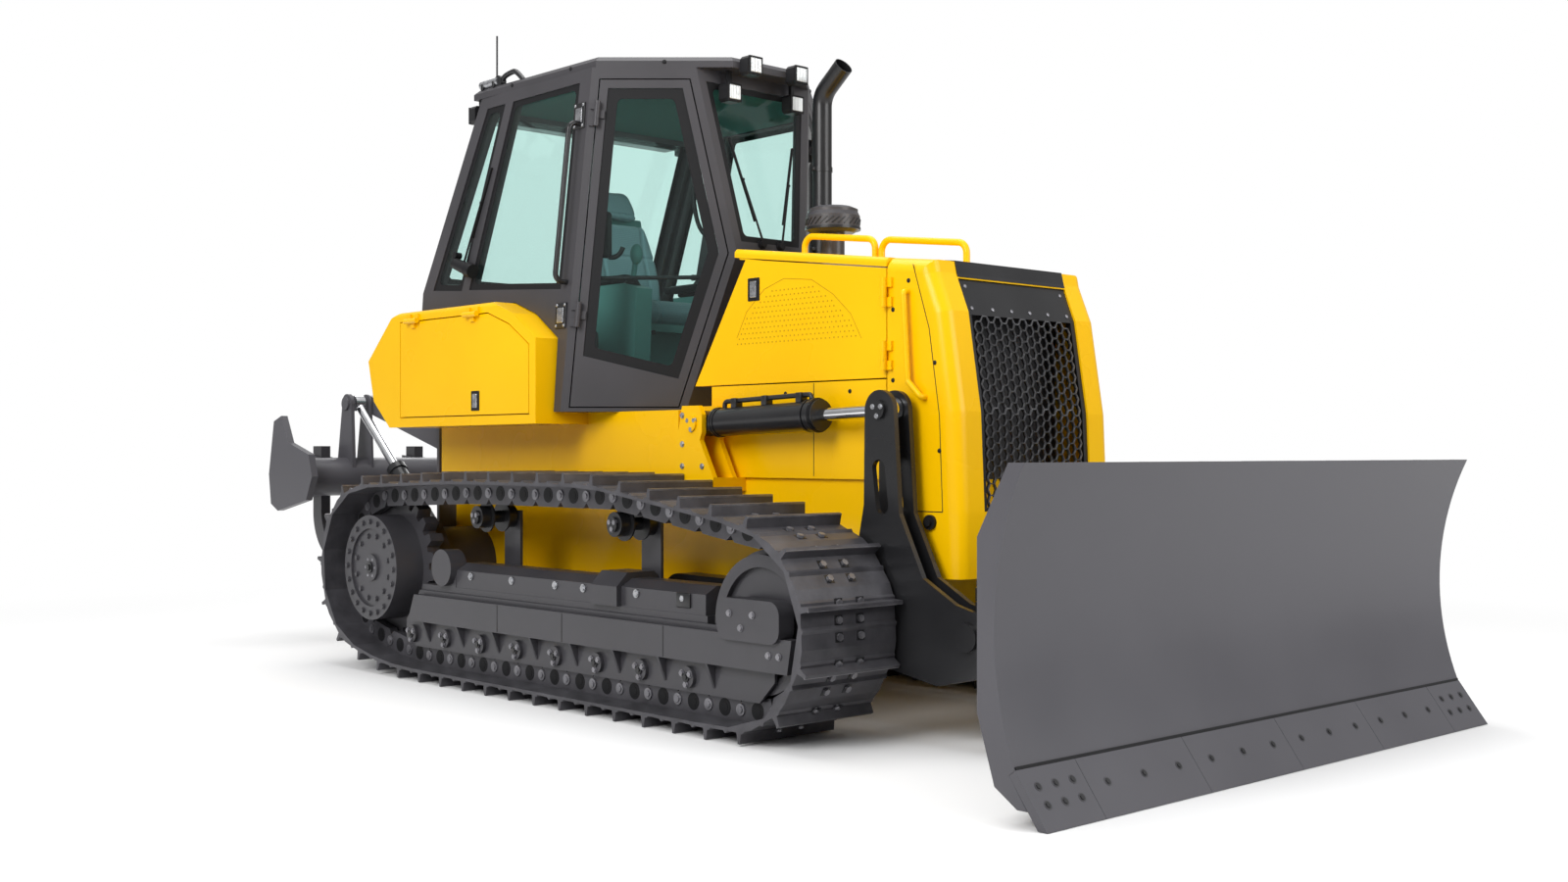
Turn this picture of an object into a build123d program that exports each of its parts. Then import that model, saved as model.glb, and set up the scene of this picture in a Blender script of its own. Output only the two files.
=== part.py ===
from build123d import *
from math import acos, atan2, cos, degrees, floor, hypot, pi, radians, sin, sqrt
import os

os.makedirs("parts", exist_ok=True)

# Crawler bulldozer, millimetres. +X forward, +Y left, +Z up, origin on the ground under the middle.
# Running gaps
FACE_GAP = 0.3          # between a curved face and its seat
CHORD_GAP = 10.0        # under rails that bend over a small roller
PIN_GAP = 0.06          # radial, pin in a bore
PANEL_GAP = 6.0         # round doors and covers
SIDE_GAP = 5.0          # beside a swinging eye or plate

# Door and cover hinges
HINGE_R = 14.0
HINGE_PIN_R = 7.0
HINGE_LENGTH = 120.0
HINGE_REACH = 36.0
HINGE_LEAF = 12.0
HINGE_STAND = 20.0      # axis outside the panel's face

# Tracks
TRACK_Y = 935.0         # middle of a track
SHOE_WIDTH = 510.0
PITCH = 203.0           # nominal, trimmed to a whole number of shoes
GROUSER = 50.0
GROUSER_THICK = 26.0
SHOE_THICK = 12.0
SHOE_LIP = 9.0          # a shoe's rear edge stands over the next shoe
SHOE_RIB = 12.0         # low middle rib
PLATE_OUT = 57.0        # pin line to the outer face of the shoe plate
RAIL_DEPTH = 55.0       # pin line to the rail's running face
RAIL_WIDTH = 45.0
RAIL_Y = 75.0           # rails each side of the track's middle
SPROCKET = (-1540.0, 537.0)
SPROCKET_PITCH_R = 375.0
SPROCKET_TEETH = 23
TOOTH_OVER = 6.0        # tooth tip beyond the pitch circle
TOOTH_UNDER = 45.0      # tooth root inside it
IDLER = (1439.0, 457.0)
IDLER_PITCH_R = 350.0
IDLER_FLANGE = 20.0
IDLER_RIM = 50.0
IDLER_DISH = 50.0
IDLER_AXLE_R = 70.0
CARRIER_X = (-650.0, 470.0)
CARRIER_Z = 825.0
CARRIER_R = 65.0
CARRIER_FLANGE = 10.0
ROLLER_R = 95.0
ROLLER_FLANGE = 16.0
ROLLER_COUNT = 8
ROLLER_X = (-1210.0, 1021.0)
FLANGE_THICK = 8.0
ROLLER_STEP = (ROLLER_X[1] - ROLLER_X[0]) / (ROLLER_COUNT - 1)
ROLLER_XS = [ROLLER_X[0] + index * ROLLER_STEP for index in range(ROLLER_COUNT)]

# Final drive hubs
HUB_R = 275.0
HUB_REACH = (135.0, 195.0)  # inwards and outwards from the track's middle
HUB_IN = TRACK_Y - HUB_REACH[0]
HUB_OUT = TRACK_Y + HUB_REACH[1]
HUB_DISH = 14.0
HUB_DISH_R = 205.0
HUB_CAP_R = 70.0
CASE_R = 200.0

# Track frames
FRAME_X = (-1150.0, 1310.0)
GUARD_Z = (150.0, 440.0)
GUARD_X = (-1284.0, 1546.0)
GUARD_RISE = 90.0       # the guards' lower corners are cut back over this length
GUARD_THICK = 15.0
GUARD_REACH = (120.0, 110.0)  # track's middle to the far face of the inner guard, near face of the outer
GUARD_IN = (TRACK_Y - GUARD_REACH[0], TRACK_Y - GUARD_REACH[0] + GUARD_THICK)
GUARD_OUT = (TRACK_Y + GUARD_REACH[1], TRACK_Y + GUARD_REACH[1] + GUARD_THICK)
BEAM_Z = (370.0, 470.0)
SILL_X = (-1194.0, 1690.0)
SILL_Z = (285.0, 420.0)
SILL_DEEP = 60.0        # guard's near face to the side beam's outer face
SILL_OUT = GUARD_OUT[0] + SILL_DEEP
COVER_X = (-829.0, 1105.0)
COVER_Z = (470.0, 556.0, 590.0)
COVER_SHOULDER = 60.0   # the recoil cover's top edge is cut back by this much
STRAP_X = (340.0, 530.0)
STRAP_THICK = 26.0
IDLER_BLOCK_X = (1272.0, 1640.0)
IDLER_BLOCK_Z = (398.0, 565.0)
IDLER_BLOCK_DEEP = 80.0
IDLER_BLOCK_OUT = GUARD_OUT[0] + IDLER_BLOCK_DEEP
IDLER_BLOCK_R = 55.0
RIB_THICK = 14.0
CAP_R = 45.0            # roller end caps
CAP_THICK = 18.0
PIVOT_CAP = (-915.0, 565.0)
PIVOT_CAP_R = 92.0

# Hull
HULL_HALF = 480.0
HULL_X = (-1750.0, 1900.0)
HULL_Z = (400.0, 1030.0)
DECK_X = (-1640.0, 500.0)
DECK_TOP = 1337.0
PIVOT_SHAFT = (-1000.0, 430.0)
PIVOT_SHAFT_R = 70.0
EQUALISER_X = (100.0, 240.0)
EQUALISER_Z = (360.0, 430.0)
BRACKET_PLATE = 25.0    # lift cylinder brackets
ENGINE_X = (640.0, 1560.0)
ENGINE_HALF = 330.0
ENGINE_TOP = 1820.0
RADIATOR_X = (1650.0, 1770.0)
RADIATOR_MARGIN = 60.0
RADIATOR_TOP = 1760.0

# Engine enclosure
HOOD_HALF = 500.0
HOOD_WALL = 40.0
HOOD_TOP_LINE = ((660.0, 2066.0), (1604.0, 1948.0), (1850.0, 1920.0))
TONGUE = (430.0, 270.0)  # narrow rear end of the hood, under the windscreen
COWL_X = 1618.0
DOOR_BOTTOM = 1450.0
DOOR_REAR_LOW = 380.0
DOOR_REAR_HIGH = 735.0
NOSE_LINE = ((1850.0, 1920.0), (1861.0, 1870.0), (1927.0, 1711.0), (1993.0, 1306.0), (2012.0, 905.0),
             (2012.0, 640.0))
GRILLE_HALF = 350.0
GRILLE_Z = (905.0, 1870.0)
GRILLE_SPLIT = 1711.0
GRILLE_DEEP = 30.0
GRILLE_CELL = 104.0
GRILLE_BAR = 16.0
SKIRT_BOTTOM = 640.0
COWL_REAR_LOW = 760.0
COWL_EDGE_R = 60.0
NOSE_DEEP = 80.0        # thickness of the cowl at the nose
HOOD_EDGE_R = 25.0
ENGINE_HINGE_Z = (1540.0, 1800.0)
EXHAUST = (520.0, 185.0)
EXHAUST_R = 48.0
EXHAUST_WALL = 4.0
EXHAUST_FLANGE = 22.0
EXHAUST_BEND = 120.0
EXHAUST_TOP = 3033.0
CLEANER = (740.0, 45.0)
CLEANER_R = 128.0
CLEANER_Z = (2177.0, 2300.0)
CLEANER_NECK_R = 55.0
RAIL_BAR_R = 15.0
RAIL_SPANS = ((690.0, 1150.0), (1190.0, 1690.0))
RAIL_RISE = 95.0        # above the hood
HOOD_RAIL_Y = -90.0
GRAB_BAR = ((1735.0, 1795.0), (1735.0, 1795.0), (1760.0, 1430.0), (1830.0, 1365.0), (1830.0, 1365.0))
GRAB_Y = 529.0
GRAB_R = 12.0

# Cab: a hexagon in plan, wider at the door pillars, with leaning sides
CAB_WALL = 60.0
CAB_FLOOR = DECK_TOP
CAB_TOP = 2985.0
DOOR_ORIGIN = (512.0, -60.0)
DOOR_YAW = 47.4         # direction of the right door's plane from +X
SIDE_TOP = (735.0, CAB_TOP + 5.0)
SIDE_LEAN = 0.0685      # outwards for each millimetre down
KNEE_Z = 2096.0
KNEE_X = 360.0
BROW_X = 233.0          # windscreen plane at the height of the brow
BROW_DROP = 36.0
BROW_Z = CAB_TOP - BROW_DROP
FOOT_X = 195.0
REAR_TOP_X = -1093.0
REAR_DROP = 25.0
REAR_TOP_Z = CAB_TOP - REAR_DROP
REAR_LEAN = 0.486
REAR_WALL_X = -1560.0
DOOR_THICK = 45.0
PILLAR = 45.0           # from a cab corner to the door's edge
BROW_BAND = 60.0        # from the cab's top to its openings
DOOR_TOP_Z = CAB_TOP - BROW_BAND
DOOR_LOW_Z = 1361.0
GLASS_THICK = 8.0
GLASS_FIT = 0.5
GLASS_SINK = 6.0        # below the cab's outer faces
DOOR_OPEN_SILL = (1492.0, 1618.0)
ROOF_THICK = 53.0
ROOF_EDGE = 22.0        # chamfer round the roof's top
ROOF_Z = (CAB_TOP, CAB_TOP + ROOF_THICK)
ROOF_PLAN = ((347.0, 239.0), (-97.0, 722.0), (-1150.0, 740.0))
REAR_SILL_Z = 2060.0
MULLION = 35.0
MULLION_X = (-816.0, -1132.0)  # top and foot of the leaning mullion
SIDE_SILL = ((-300.0, 1930.0), (-1500.0, 2010.0))
SCREEN_LOW = KNEE_Z + 60
SCREEN_HIGH = DOOR_TOP_Z
BOX_CLEAR = 4.0
DOOR_RAIL = 40.0
DOOR_HINGE_Z = (DOOR_LOW_Z + 439, DOOR_TOP_Z - 165)
CAB_RAIL_Z = (1960.0, DOOR_TOP_Z - 205)
AERIAL_TOP = ROOF_Z[1] + 329
AERIAL_R = 5.0
REAR_UNIT_HALF = 620.0
REAR_UNIT_DEEP = 120.0
LAMP_SIZE = (60.0, 92.0)
CAB_RAIL_R = 13.0
CAB_RAIL_STAND = 70.0

# Seat and controls
SEAT_X = (-830.0, -330.0)
SEAT_HALF = 250.0
SEAT_Z = 1800.0
SEAT_BACK_Z = 2430.0
SEAT_RECLINE = 0.222
SEAT_BASE_X = (-760.0, -420.0)
SEAT_BASE_HALF = 170.0
SEAT_PAN = 40.0
HEADREST = (150.0, 170.0)  # half width and height
ROOM_FLOOR = CAB_FLOOR + CAB_WALL / 2
CONSOLE_Y = (300.0, 400.0)

# Side boxes
BOX_IN = 640.0
BOX_OUT = 950.0
BOX_WALL = 40.0
BOX_EDGE_R = 28.0
BOX_ROOM = ((-340.0, 1340.0), (-340.0, 1650.0), (-505.0, 1755.0), (-695.0, 1820.0), (-1530.0, 1820.0),
            (-1530.0, 1340.0))
BOX_PROFILE = ((-270.0, 1280.0), (-270.0, 1690.0), (-470.0, 1820.0), (-660.0, 1887.0), (-1560.0, 1887.0),
               (-1640.0, 1860.0), (-1890.0, 1640.0), (-1830.0, 1420.0), (-1660.0, 1275.0))
COVER_PROFILE = ((-330.0, 1330.0), (-330.0, 1660.0), (-500.0, 1765.0), (-690.0, 1830.0), (-1540.0, 1830.0),
                 (-1540.0, 1330.0))
COVER_HINGE_X = (-820.0, -1400.0)

# Blade lift
ARM_IN = 550.0
ARM_OUT = 660.0
UPRIGHT_SLOT = ((1742.0, 930.0), (1722.0, 1080.0))
SLOT_R = 34.0
LIFT_PIVOT = (450.0, 480.0)
LIFT_BASE = (567.0, 1273.0)
LIFT_ROD_PIN = (1725.0, 1313.0)
LIFT_Y = 605.0
BARREL_R = 62.5
ROD_R = 27.5
LIFT_BARREL_END = 760.0
LIFT_PIPE_X = (150.0, 715.0)
PIPE_R = 11.0
PIPE_STAND = 28.0
LIFT_ROD_LENGTH = 780.0
CROSSBAR_X = (2140.0, 2300.0)
CROSSBAR_Z = (300.0, 470.0)
UPRIGHT_EYE_R = 80.0
ARM_EYE_R = 110.0
LIFT_EYE = 80.0
LIFT_EYE_R = 58.0
LIFT_BARREL_START = 105.0
LIFT_ROD_EYE_R = 55.0
LIFT_PIN_R = 35.0
PIN_HEAD = 10.0
LIFT_TRUNNION_R = 50.0
LIFT_ROD_EYE = 52.0
NOSE_R = 110.0
NOSE_Z = (390.0, 460.0)

# Blade, yoke and their cylinders
KINGPIN_X = 2560.0
KINGPIN_R = 55.0
TILT_Z = 460.0
TILT_PIN_R = 55.0
ANGLE_BASE = (2197.0, 560.0)
ANGLE_LUG = (2640.0, 290.0)
ANGLE_Z = 600.0
ANGLE_BARREL_R = 45.0
ANGLE_ROD_R = 22.5
ANGLE_BOSS = (2190.0, 440.0)
ANGLE_EYE = 50.0
ANGLE_EYE_R = 40.0
ANGLE_BARREL = (48.0, 330.0)  # start and end, from the base pin
ANGLE_ROD_LENGTH = 335.0
ANGLE_ROD_EYE_R = 36.0
ANGLE_PIN_R = 22.0
WING_TOP = ANGLE_Z - ANGLE_EYE / 2 - SIDE_GAP
BLADE_HALF = 1475.0
BLADE_TOP = (3129.0, 1112.0)
BLADE_WAIST = (3012.0, 690.0)
EDGE_TOP = (3090.0, 170.0)
BLADE_TIP_X = 3217.0
BLADE_REACH = 380.0     # kingpin to the blade's ribs
BLADE_BACK_X = KINGPIN_X + BLADE_REACH
BLADE_SKIN = 30.0
BLADE_RIB = 26.0
RIB_Y = (430.0, 780.0, 1130.0)
BLADE_BOX_Z = ((0.0, 215.0), (330.0, 450.0), (770.0, 900.0))
HUB_HALF = 170.0
YOKE_FACE = BLADE_BACK_X - 170
TILT_BASE = (330.0, 800.0)
TILT_LUG = (-300.0, 800.0)
TILT_CYL_X = YOKE_FACE + 80
TILT_CYL_PIN_R = 22.0
TILT_EYE = 50.0
TILT_EYE_R = 42.0
TILT_BARREL = (60.0, 420.0)
TILT_ROD_LENGTH = 430.0
TILT_ROD_EYE_R = 40.0
EDGE_SEAMS = (-1180.0, -590.0, 0.0, 590.0, 1180.0)
EDGE_JOINT = 1.0        # half the gap between neighbours
EDGE_HEEL = (3140.0, 52.0)
EDGE_SEAT = (3068.0, 153.5)

# Ripper
RIP_LOW_HULL = (-1950.0, 535.0)
RIP_HIGH_HULL = (-1950.0, 1198.0)
RIP_LOW_BEAM = (-2850.0, 775.0)
RIP_HIGH_BEAM = (-2850.0, 1438.0)
RIP_BASE = (-1850.0, 600.0)
RIP_TUBE = (-2875.0, 995.0)
RIP_TUBE_R = 115.0
RIP_BARREL_R = 50.0
RIP_ROD_R = 26.0
RIP_CYL_Y = 500.0
RIP_ARM_Y = (300.0, 360.0)
RIP_LINK_Y = (382.0, 430.0)
RIP_END_Y = (860.0, 900.0)
SHANK_Y = 640.0
SHANK_THICK = 60.0
MOUNT_X = (HULL_X[0] - 25, HULL_X[0])
LEVER_IN = (434.0, 447.0)
LEVER_OUT = (553.0, 575.0)
EAR_IN = (266.0, RIP_ARM_Y[0] - 4)
EAR_MID = (RIP_ARM_Y[1] + 4, RIP_LINK_Y[0] - 4)
RIP_PIN_R = 32.0
RIP_EYE = 96.0
RIP_EYE_R = 52.0
RIP_BARREL = (70.0, 700.0)
RIP_ROD_LENGTH = 700.0
RIP_ROD_EYE = 60.0
RIP_ROD_EYE_R = 48.0
SHANK_TOP = 1180.0
SHANK_CHEEK = 22.0
MOUNT_HALF = 590.0
END_PLATE = ((-3217.0, 1010.0), (-3150.0, 1330.0), (-3050.0, 1362.0), (-2960.0, 1200.0), (-2700.0, 1130.0),
             (-2655.0, 1000.0), (-2730.0, 860.0), (-3100.0, 789.0), (-3190.0, 830.0))
SHANK_BACK_X = -3095.0
SHANK_FRONT_X = RIP_TUBE[0] - RIP_TUBE_R - FACE_GAP
SHANK_TIP = (-2755.0, 495.0)


def save(name, shape):
    export_step(shape, f"parts/{name}.step")


def plate_xz(points, y_low, y_high):
    face = Pos(0, y_low, 0) * (Plane.XZ * make_face(Polyline(*points, close=True)))
    return extrude(face, amount=y_high - y_low, dir=(0, 1, 0))


def plate_xy(points, z_low, z_high):
    face = Pos(0, 0, z_low) * make_face(Polyline(*points, close=True))
    return extrude(face, amount=z_high - z_low, dir=(0, 0, 1))


def plate_yz(points, x_low, x_high):
    face = Pos(x_low, 0, 0) * (Plane.YZ * make_face(Polyline(*points, close=True)))
    return extrude(face, amount=x_high - x_low, dir=(1, 0, 0))


def block(x, y, z):
    size = [high - low for low, high in (x, y, z)]
    middle = [(high + low) / 2 for low, high in (x, y, z)]
    return Pos(*middle) * Box(*size)


def round_bar(start, end, radius):
    start, end = Vector(*start), Vector(*end)
    plane = Plane(origin=start, z_dir=end - start)
    return extrude(plane * Circle(radius), amount=(end - start).length)


def round_y(centre, radius, y_low, y_high):
    return round_bar((centre[0], y_low, centre[1]), (centre[0], y_high, centre[1]), radius)


def bent_bar(points, radius, bend):
    path = FilletPolyline(*points, radius=bend)
    section = Plane(origin=path @ 0, z_dir=path % 0) * Circle(radius)
    return sweep(section, path=path)


def mirrored(shape):
    return mirror(shape, about=Plane.XZ)


def both(shape):
    return shape + mirrored(shape)


def capsule_xz(start, end, radius_start, radius_end, y_low, y_high):
    # flat link with a round eye at each end and straight tangent sides
    dx, dz = end[0] - start[0], end[1] - start[1]
    length = hypot(dx, dz)
    along = atan2(dz, dx)
    lean = acos((radius_start - radius_end) / length)
    corners = []
    for angle in (along + lean, along - lean):
        corners.append(((start[0] + radius_start * cos(angle), start[1] + radius_start * sin(angle)),
                        (end[0] + radius_end * cos(angle), end[1] + radius_end * sin(angle))))
    body = plate_xz((corners[0][0], corners[0][1], corners[1][1], corners[1][0]), y_low, y_high)
    return body + round_y(start, radius_start, y_low, y_high) + round_y(end, radius_end, y_low, y_high)


def hinge_leaves(origin, axis, along, stand):
    # two knuckles with the pin and leaves on the fixed side, one knuckle and leaf on the moving side;
    # along points from the axis to the moving panel, and axis x along points outwards
    plane = Plane(origin=origin, z_dir=axis, x_dir=along)
    third = HINGE_LENGTH / 3
    middle = Cylinder(HINGE_R, third - 1) - Cylinder(HINGE_PIN_R + PIN_GAP, third)
    leaf = Box(HINGE_REACH, HINGE_LEAF, third - 1, align=(Align.MIN, Align.MIN, Align.CENTER))
    middle += Pos(0, -stand, 0) * leaf - Cylinder(HINGE_PIN_R + PIN_GAP, third)
    fixed = Cylinder(HINGE_PIN_R, HINGE_LENGTH)
    for side in (-1, 1):
        fixed += Pos(0, 0, side * third) * Cylinder(HINGE_R, third)
        fixed += Pos(-HINGE_REACH, -stand, side * third) * leaf
    return plane * fixed, plane * middle


# Track path: a belt round the sprocket, the carriers, the idler and the rear roller, all convex
def belt_path(circles):
    spans = []
    count = len(circles)
    for index in range(count):
        (x0, z0, r0), (x1, z1, r1) = circles[index], circles[(index + 1) % count]
        dx, dz = x1 - x0, z1 - z0
        length = hypot(dx, dz)
        normal = atan2(dz, dx) + acos((r0 - r1) / length)
        n = (cos(normal), sin(normal))
        spans.append(((x0 + r0 * n[0], z0 + r0 * n[1]), (x1 + r1 * n[0], z1 + r1 * n[1]), normal))
    pieces = []
    for index in range(count):
        start, end, normal = spans[index]
        pieces.append(("line", start, end, hypot(end[0] - start[0], end[1] - start[1])))
        x, z, r = circles[(index + 1) % count]
        turn = (normal - spans[(index + 1) % count][2]) % (2 * pi)
        pieces.append(("arc", (x, z, r, normal), turn, r * turn))
    return pieces


def path_point(pieces, distance):
    for kind, first, second, length in pieces:
        if distance <= length:
            if kind == "line":
                share = distance / length
                return (first[0] + (second[0] - first[0]) * share, first[1] + (second[1] - first[1]) * share)
            x, z, r, normal = first
            angle = normal - distance / r
            return (x + r * cos(angle), z + r * sin(angle))
        distance -= length
    return pieces[0][1]


# Tracks: shoes with one grouser each, on two rails
def link_frames():
    rise = GROUSER + PLATE_OUT
    rear_roller = (ROLLER_X[0], rise + RAIL_DEPTH + ROLLER_R, RAIL_DEPTH + ROLLER_R)
    front_ground = (IDLER[0], rise + IDLER_PITCH_R, IDLER_PITCH_R)
    carriers = [(x, CARRIER_Z, CARRIER_R + RAIL_DEPTH) for x in CARRIER_X]
    pieces = belt_path([(*SPROCKET, SPROCKET_PITCH_R), *carriers, front_ground, rear_roller])
    total = sum(piece[3] for piece in pieces)
    count = round(total / PITCH)
    pins = [path_point(pieces, total * index / count) for index in range(count)]
    return pins, total / count


def ring_points(pins, profile):
    points = []
    for index, (x0, z0) in enumerate(pins):
        x1, z1 = pins[(index + 1) % len(pins)]
        length = hypot(x1 - x0, z1 - z0)
        ux, uz = (x1 - x0) / length, (z1 - z0) / length
        middle = ((x0 + x1) / 2, (z0 + z1) / 2)
        for along, out in profile:
            points.append((middle[0] + ux * along - uz * out, middle[1] + uz * along + ux * out))
    return points


PINS, LINK = link_frames()
TIP = PLATE_OUT + GROUSER


def make_track():
    half = GROUSER_THICK / 2
    back = -0.30 * LINK
    mid = 0.10 * LINK
    lip = 0.46 * LINK
    shoe = [(-lip, PLATE_OUT), (-lip + SHOE_LIP, PLATE_OUT + SHOE_LIP), (back - half, PLATE_OUT + SHOE_LIP),
            (back - half / 2, TIP), (back + half / 2, TIP), (back + half, PLATE_OUT + SHOE_LIP / 2),
            (mid - half, PLATE_OUT + SHOE_LIP / 4), (mid, PLATE_OUT + SHOE_RIB),
            (mid + half, PLATE_OUT + SHOE_LIP / 4), (lip, PLATE_OUT)]
    inner = PLATE_OUT - SHOE_THICK
    notch = 0.12 * LINK
    rail = [(-LINK / 2 + notch, -RAIL_DEPTH), (LINK / 2 - notch, -RAIL_DEPTH), (LINK / 2, -RAIL_DEPTH + notch)]
    outline = ring_points(PINS, shoe)
    lining = ring_points(PINS, [(0, inner)])
    low, high = TRACK_Y - SHOE_WIDTH / 2, TRACK_Y + SHOE_WIDTH / 2
    track = plate_xz(outline, low, high) - plate_xz(lining, low - 1, high + 1)
    for side in (-1, 1):
        y = TRACK_Y + side * RAIL_Y
        bar = plate_xz(ring_points(PINS, [(0, inner + SHOE_THICK / 2)]), y - RAIL_WIDTH / 2, y + RAIL_WIDTH / 2)
        bar -= plate_xz(ring_points(PINS, rail), y - RAIL_WIDTH, y + RAIL_WIDTH)
        track += bar
    return track


track_left = make_track()
save("track_left", track_left)
save("track_right", mirrored(track_left))


# Undercarriage inside the loops
GAUGE_IN, GAUGE_OUT = GUARD_IN[1], GUARD_OUT[0]
TREAD_IN = TRACK_Y - RAIL_Y - RAIL_WIDTH / 2 - 5
TREAD_OUT = TRACK_Y + RAIL_Y + RAIL_WIDTH / 2 + 5
FLANGE_IN = TRACK_Y - RAIL_Y + RAIL_WIDTH / 2 + 4
FLANGE_OUT = TRACK_Y + RAIL_Y - RAIL_WIDTH / 2 - 4
GROUND_ROLLER_Z = TIP + RAIL_DEPTH + ROLLER_R
IDLER_TREAD_R = sqrt(IDLER_PITCH_R ** 2 - (LINK / 2) ** 2) - RAIL_DEPTH - FACE_GAP


def make_sprocket():
    tip = SPROCKET_PITCH_R + TOOTH_OVER
    root = SPROCKET_PITCH_R - TOOTH_UNDER
    points = []
    for index in range(SPROCKET_TEETH):
        for share, radius in ((0.0, root), (0.30, root), (0.45, tip), (0.85, tip)):
            angle = 2 * pi * (index + share) / SPROCKET_TEETH
            points.append((SPROCKET[0] + radius * cos(angle), SPROCKET[1] + radius * sin(angle)))
    ring = plate_xz(points, FLANGE_IN + 10, FLANGE_OUT - 10)
    drum = round_y(SPROCKET, HUB_R, HUB_IN, HUB_OUT)
    drum -= round_y(SPROCKET, HUB_DISH_R, HUB_OUT - HUB_DISH, HUB_OUT + 1)
    face = round_y(SPROCKET, HUB_CAP_R, HUB_OUT - HUB_DISH - 1, HUB_OUT)
    case = round_y(SPROCKET, CASE_R, HULL_HALF, HUB_IN)
    return ring + drum + face + case


def make_idler():
    wheel = round_y(IDLER, IDLER_TREAD_R, TREAD_IN, TREAD_OUT)
    wheel += round_y(IDLER, IDLER_TREAD_R + IDLER_FLANGE, FLANGE_IN, FLANGE_OUT)
    dish = Pos(IDLER[0], TREAD_OUT, IDLER[1]) * Rot(90, 0, 0) * Cylinder(IDLER_TREAD_R - IDLER_RIM, IDLER_DISH)
    wheel -= dish
    return wheel + round_y(IDLER, IDLER_AXLE_R, GAUGE_IN, GAUGE_OUT)


def make_rollers(xs, z, radius, flange, bent):
    rollers = []
    for x in xs:
        tread = radius - (CHORD_GAP if x in bent else FACE_GAP)
        roller = round_y((x, z), 0.45 * radius, GAUGE_IN, GAUGE_OUT)
        roller += round_y((x, z), tread, TREAD_IN, FLANGE_IN) + round_y((x, z), tread, FLANGE_OUT, TREAD_OUT)
        roller += round_y((x, z), radius + flange, FLANGE_IN, FLANGE_IN + FLANGE_THICK)
        roller += round_y((x, z), radius + flange, FLANGE_OUT - FLANGE_THICK, FLANGE_OUT)
        rollers.append(roller)
    return rollers


def cover_outline(grow):
    half = (GAUGE_OUT - GAUGE_IN) / 2 + grow
    low, shoulder, top = COVER_Z
    return [(TRACK_Y - half, low), (TRACK_Y + half, low), (TRACK_Y + half, shoulder),
            (TRACK_Y + half - COVER_SHOULDER, top + grow), (TRACK_Y - half + COVER_SHOULDER, top + grow),
            (TRACK_Y - half, shoulder)]


def make_track_frame():
    beam = block(FRAME_X, (GAUGE_IN, GAUGE_OUT), BEAM_Z)
    beam -= block((IDLER[0] - IDLER_TREAD_R - 40, FRAME_X[1] + 1), (GAUGE_IN - 1, GAUGE_OUT + 1), (0, 1000))
    frame = beam + plate_yz(cover_outline(0), *COVER_X)
    frame += plate_yz(cover_outline(STRAP_THICK), *STRAP_X) - plate_yz(cover_outline(0), *STRAP_X)
    (rear, front), (low, high) = GUARD_X, GUARD_Z
    guard = [(rear, low + GUARD_RISE), (rear, high - 160), (FRAME_X[0], high), (1250, high),
             (1250, IDLER[1] + 85),
             (front - 40, IDLER[1] + 85), (front, IDLER[1] + 45), (front, low + GUARD_RISE),
             (front - GUARD_RISE, low), (rear + GUARD_RISE, low)]
    for lane in (GUARD_IN, GUARD_OUT):
        frame += plate_xz(guard, *lane)
    # side beam on the outer guard, with ribs down to it between the roller caps
    sill = [(SILL_X[0], SILL_Z[0]), (SILL_X[0] + 60, SILL_Z[1]), (SILL_X[1], SILL_Z[1]),
            (SILL_X[1] - 25, SILL_Z[0])]
    frame += plate_xz(sill, GUARD_OUT[0], SILL_OUT)
    rib = [(GUARD_OUT[1], GUARD_Z[0] + 30), (GUARD_OUT[1], SILL_Z[0]), (SILL_OUT, SILL_Z[0])]
    for x in ROLLER_XS:
        frame += plate_yz(rib, x + ROLLER_STEP / 2 - RIB_THICK / 2, x + ROLLER_STEP / 2 + RIB_THICK / 2)
        frame += round_y((x, GROUND_ROLLER_Z - CAP_R), CAP_R, *(GUARD_OUT[1], GUARD_OUT[1] + CAP_THICK))
    nose = block(IDLER_BLOCK_X, (GUARD_OUT[0], IDLER_BLOCK_OUT), IDLER_BLOCK_Z)
    frame += fillet(nose.edges().filter_by(Axis.Y), IDLER_BLOCK_R)
    cap_x, cap_z = PIVOT_CAP
    frame += round_y(PIVOT_CAP, PIVOT_CAP_R, GAUGE_OUT - 60, GUARD_OUT[1] + CAP_THICK)
    frame += block((cap_x - 0.7 * PIVOT_CAP_R, COVER_X[0]), (GAUGE_OUT - 60, GAUGE_OUT), (BEAM_Z[1], cap_z))
    for x in CARRIER_X:
        frame += block((x - 70, x + 70), GUARD_IN, (GUARD_Z[1], CARRIER_Z + 30))
    return frame


save("track_frames", both(make_track_frame()))
save("sprockets", both(make_sprocket()))
save("idlers", both(make_idler()))
track_rollers = make_rollers(ROLLER_XS, GROUND_ROLLER_Z, ROLLER_R, ROLLER_FLANGE, ROLLER_XS[:1])
pairs = [shape for roller in track_rollers for shape in (roller, mirrored(roller))]
save("track_rollers", Compound(children=pairs))
carriers = make_rollers(CARRIER_X, CARRIER_Z, CARRIER_R, CARRIER_FLANGE, CARRIER_X)
pairs = [shape for roller in carriers for shape in (roller, mirrored(roller))]
save("carrier_rollers", Compound(children=pairs))


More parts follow.
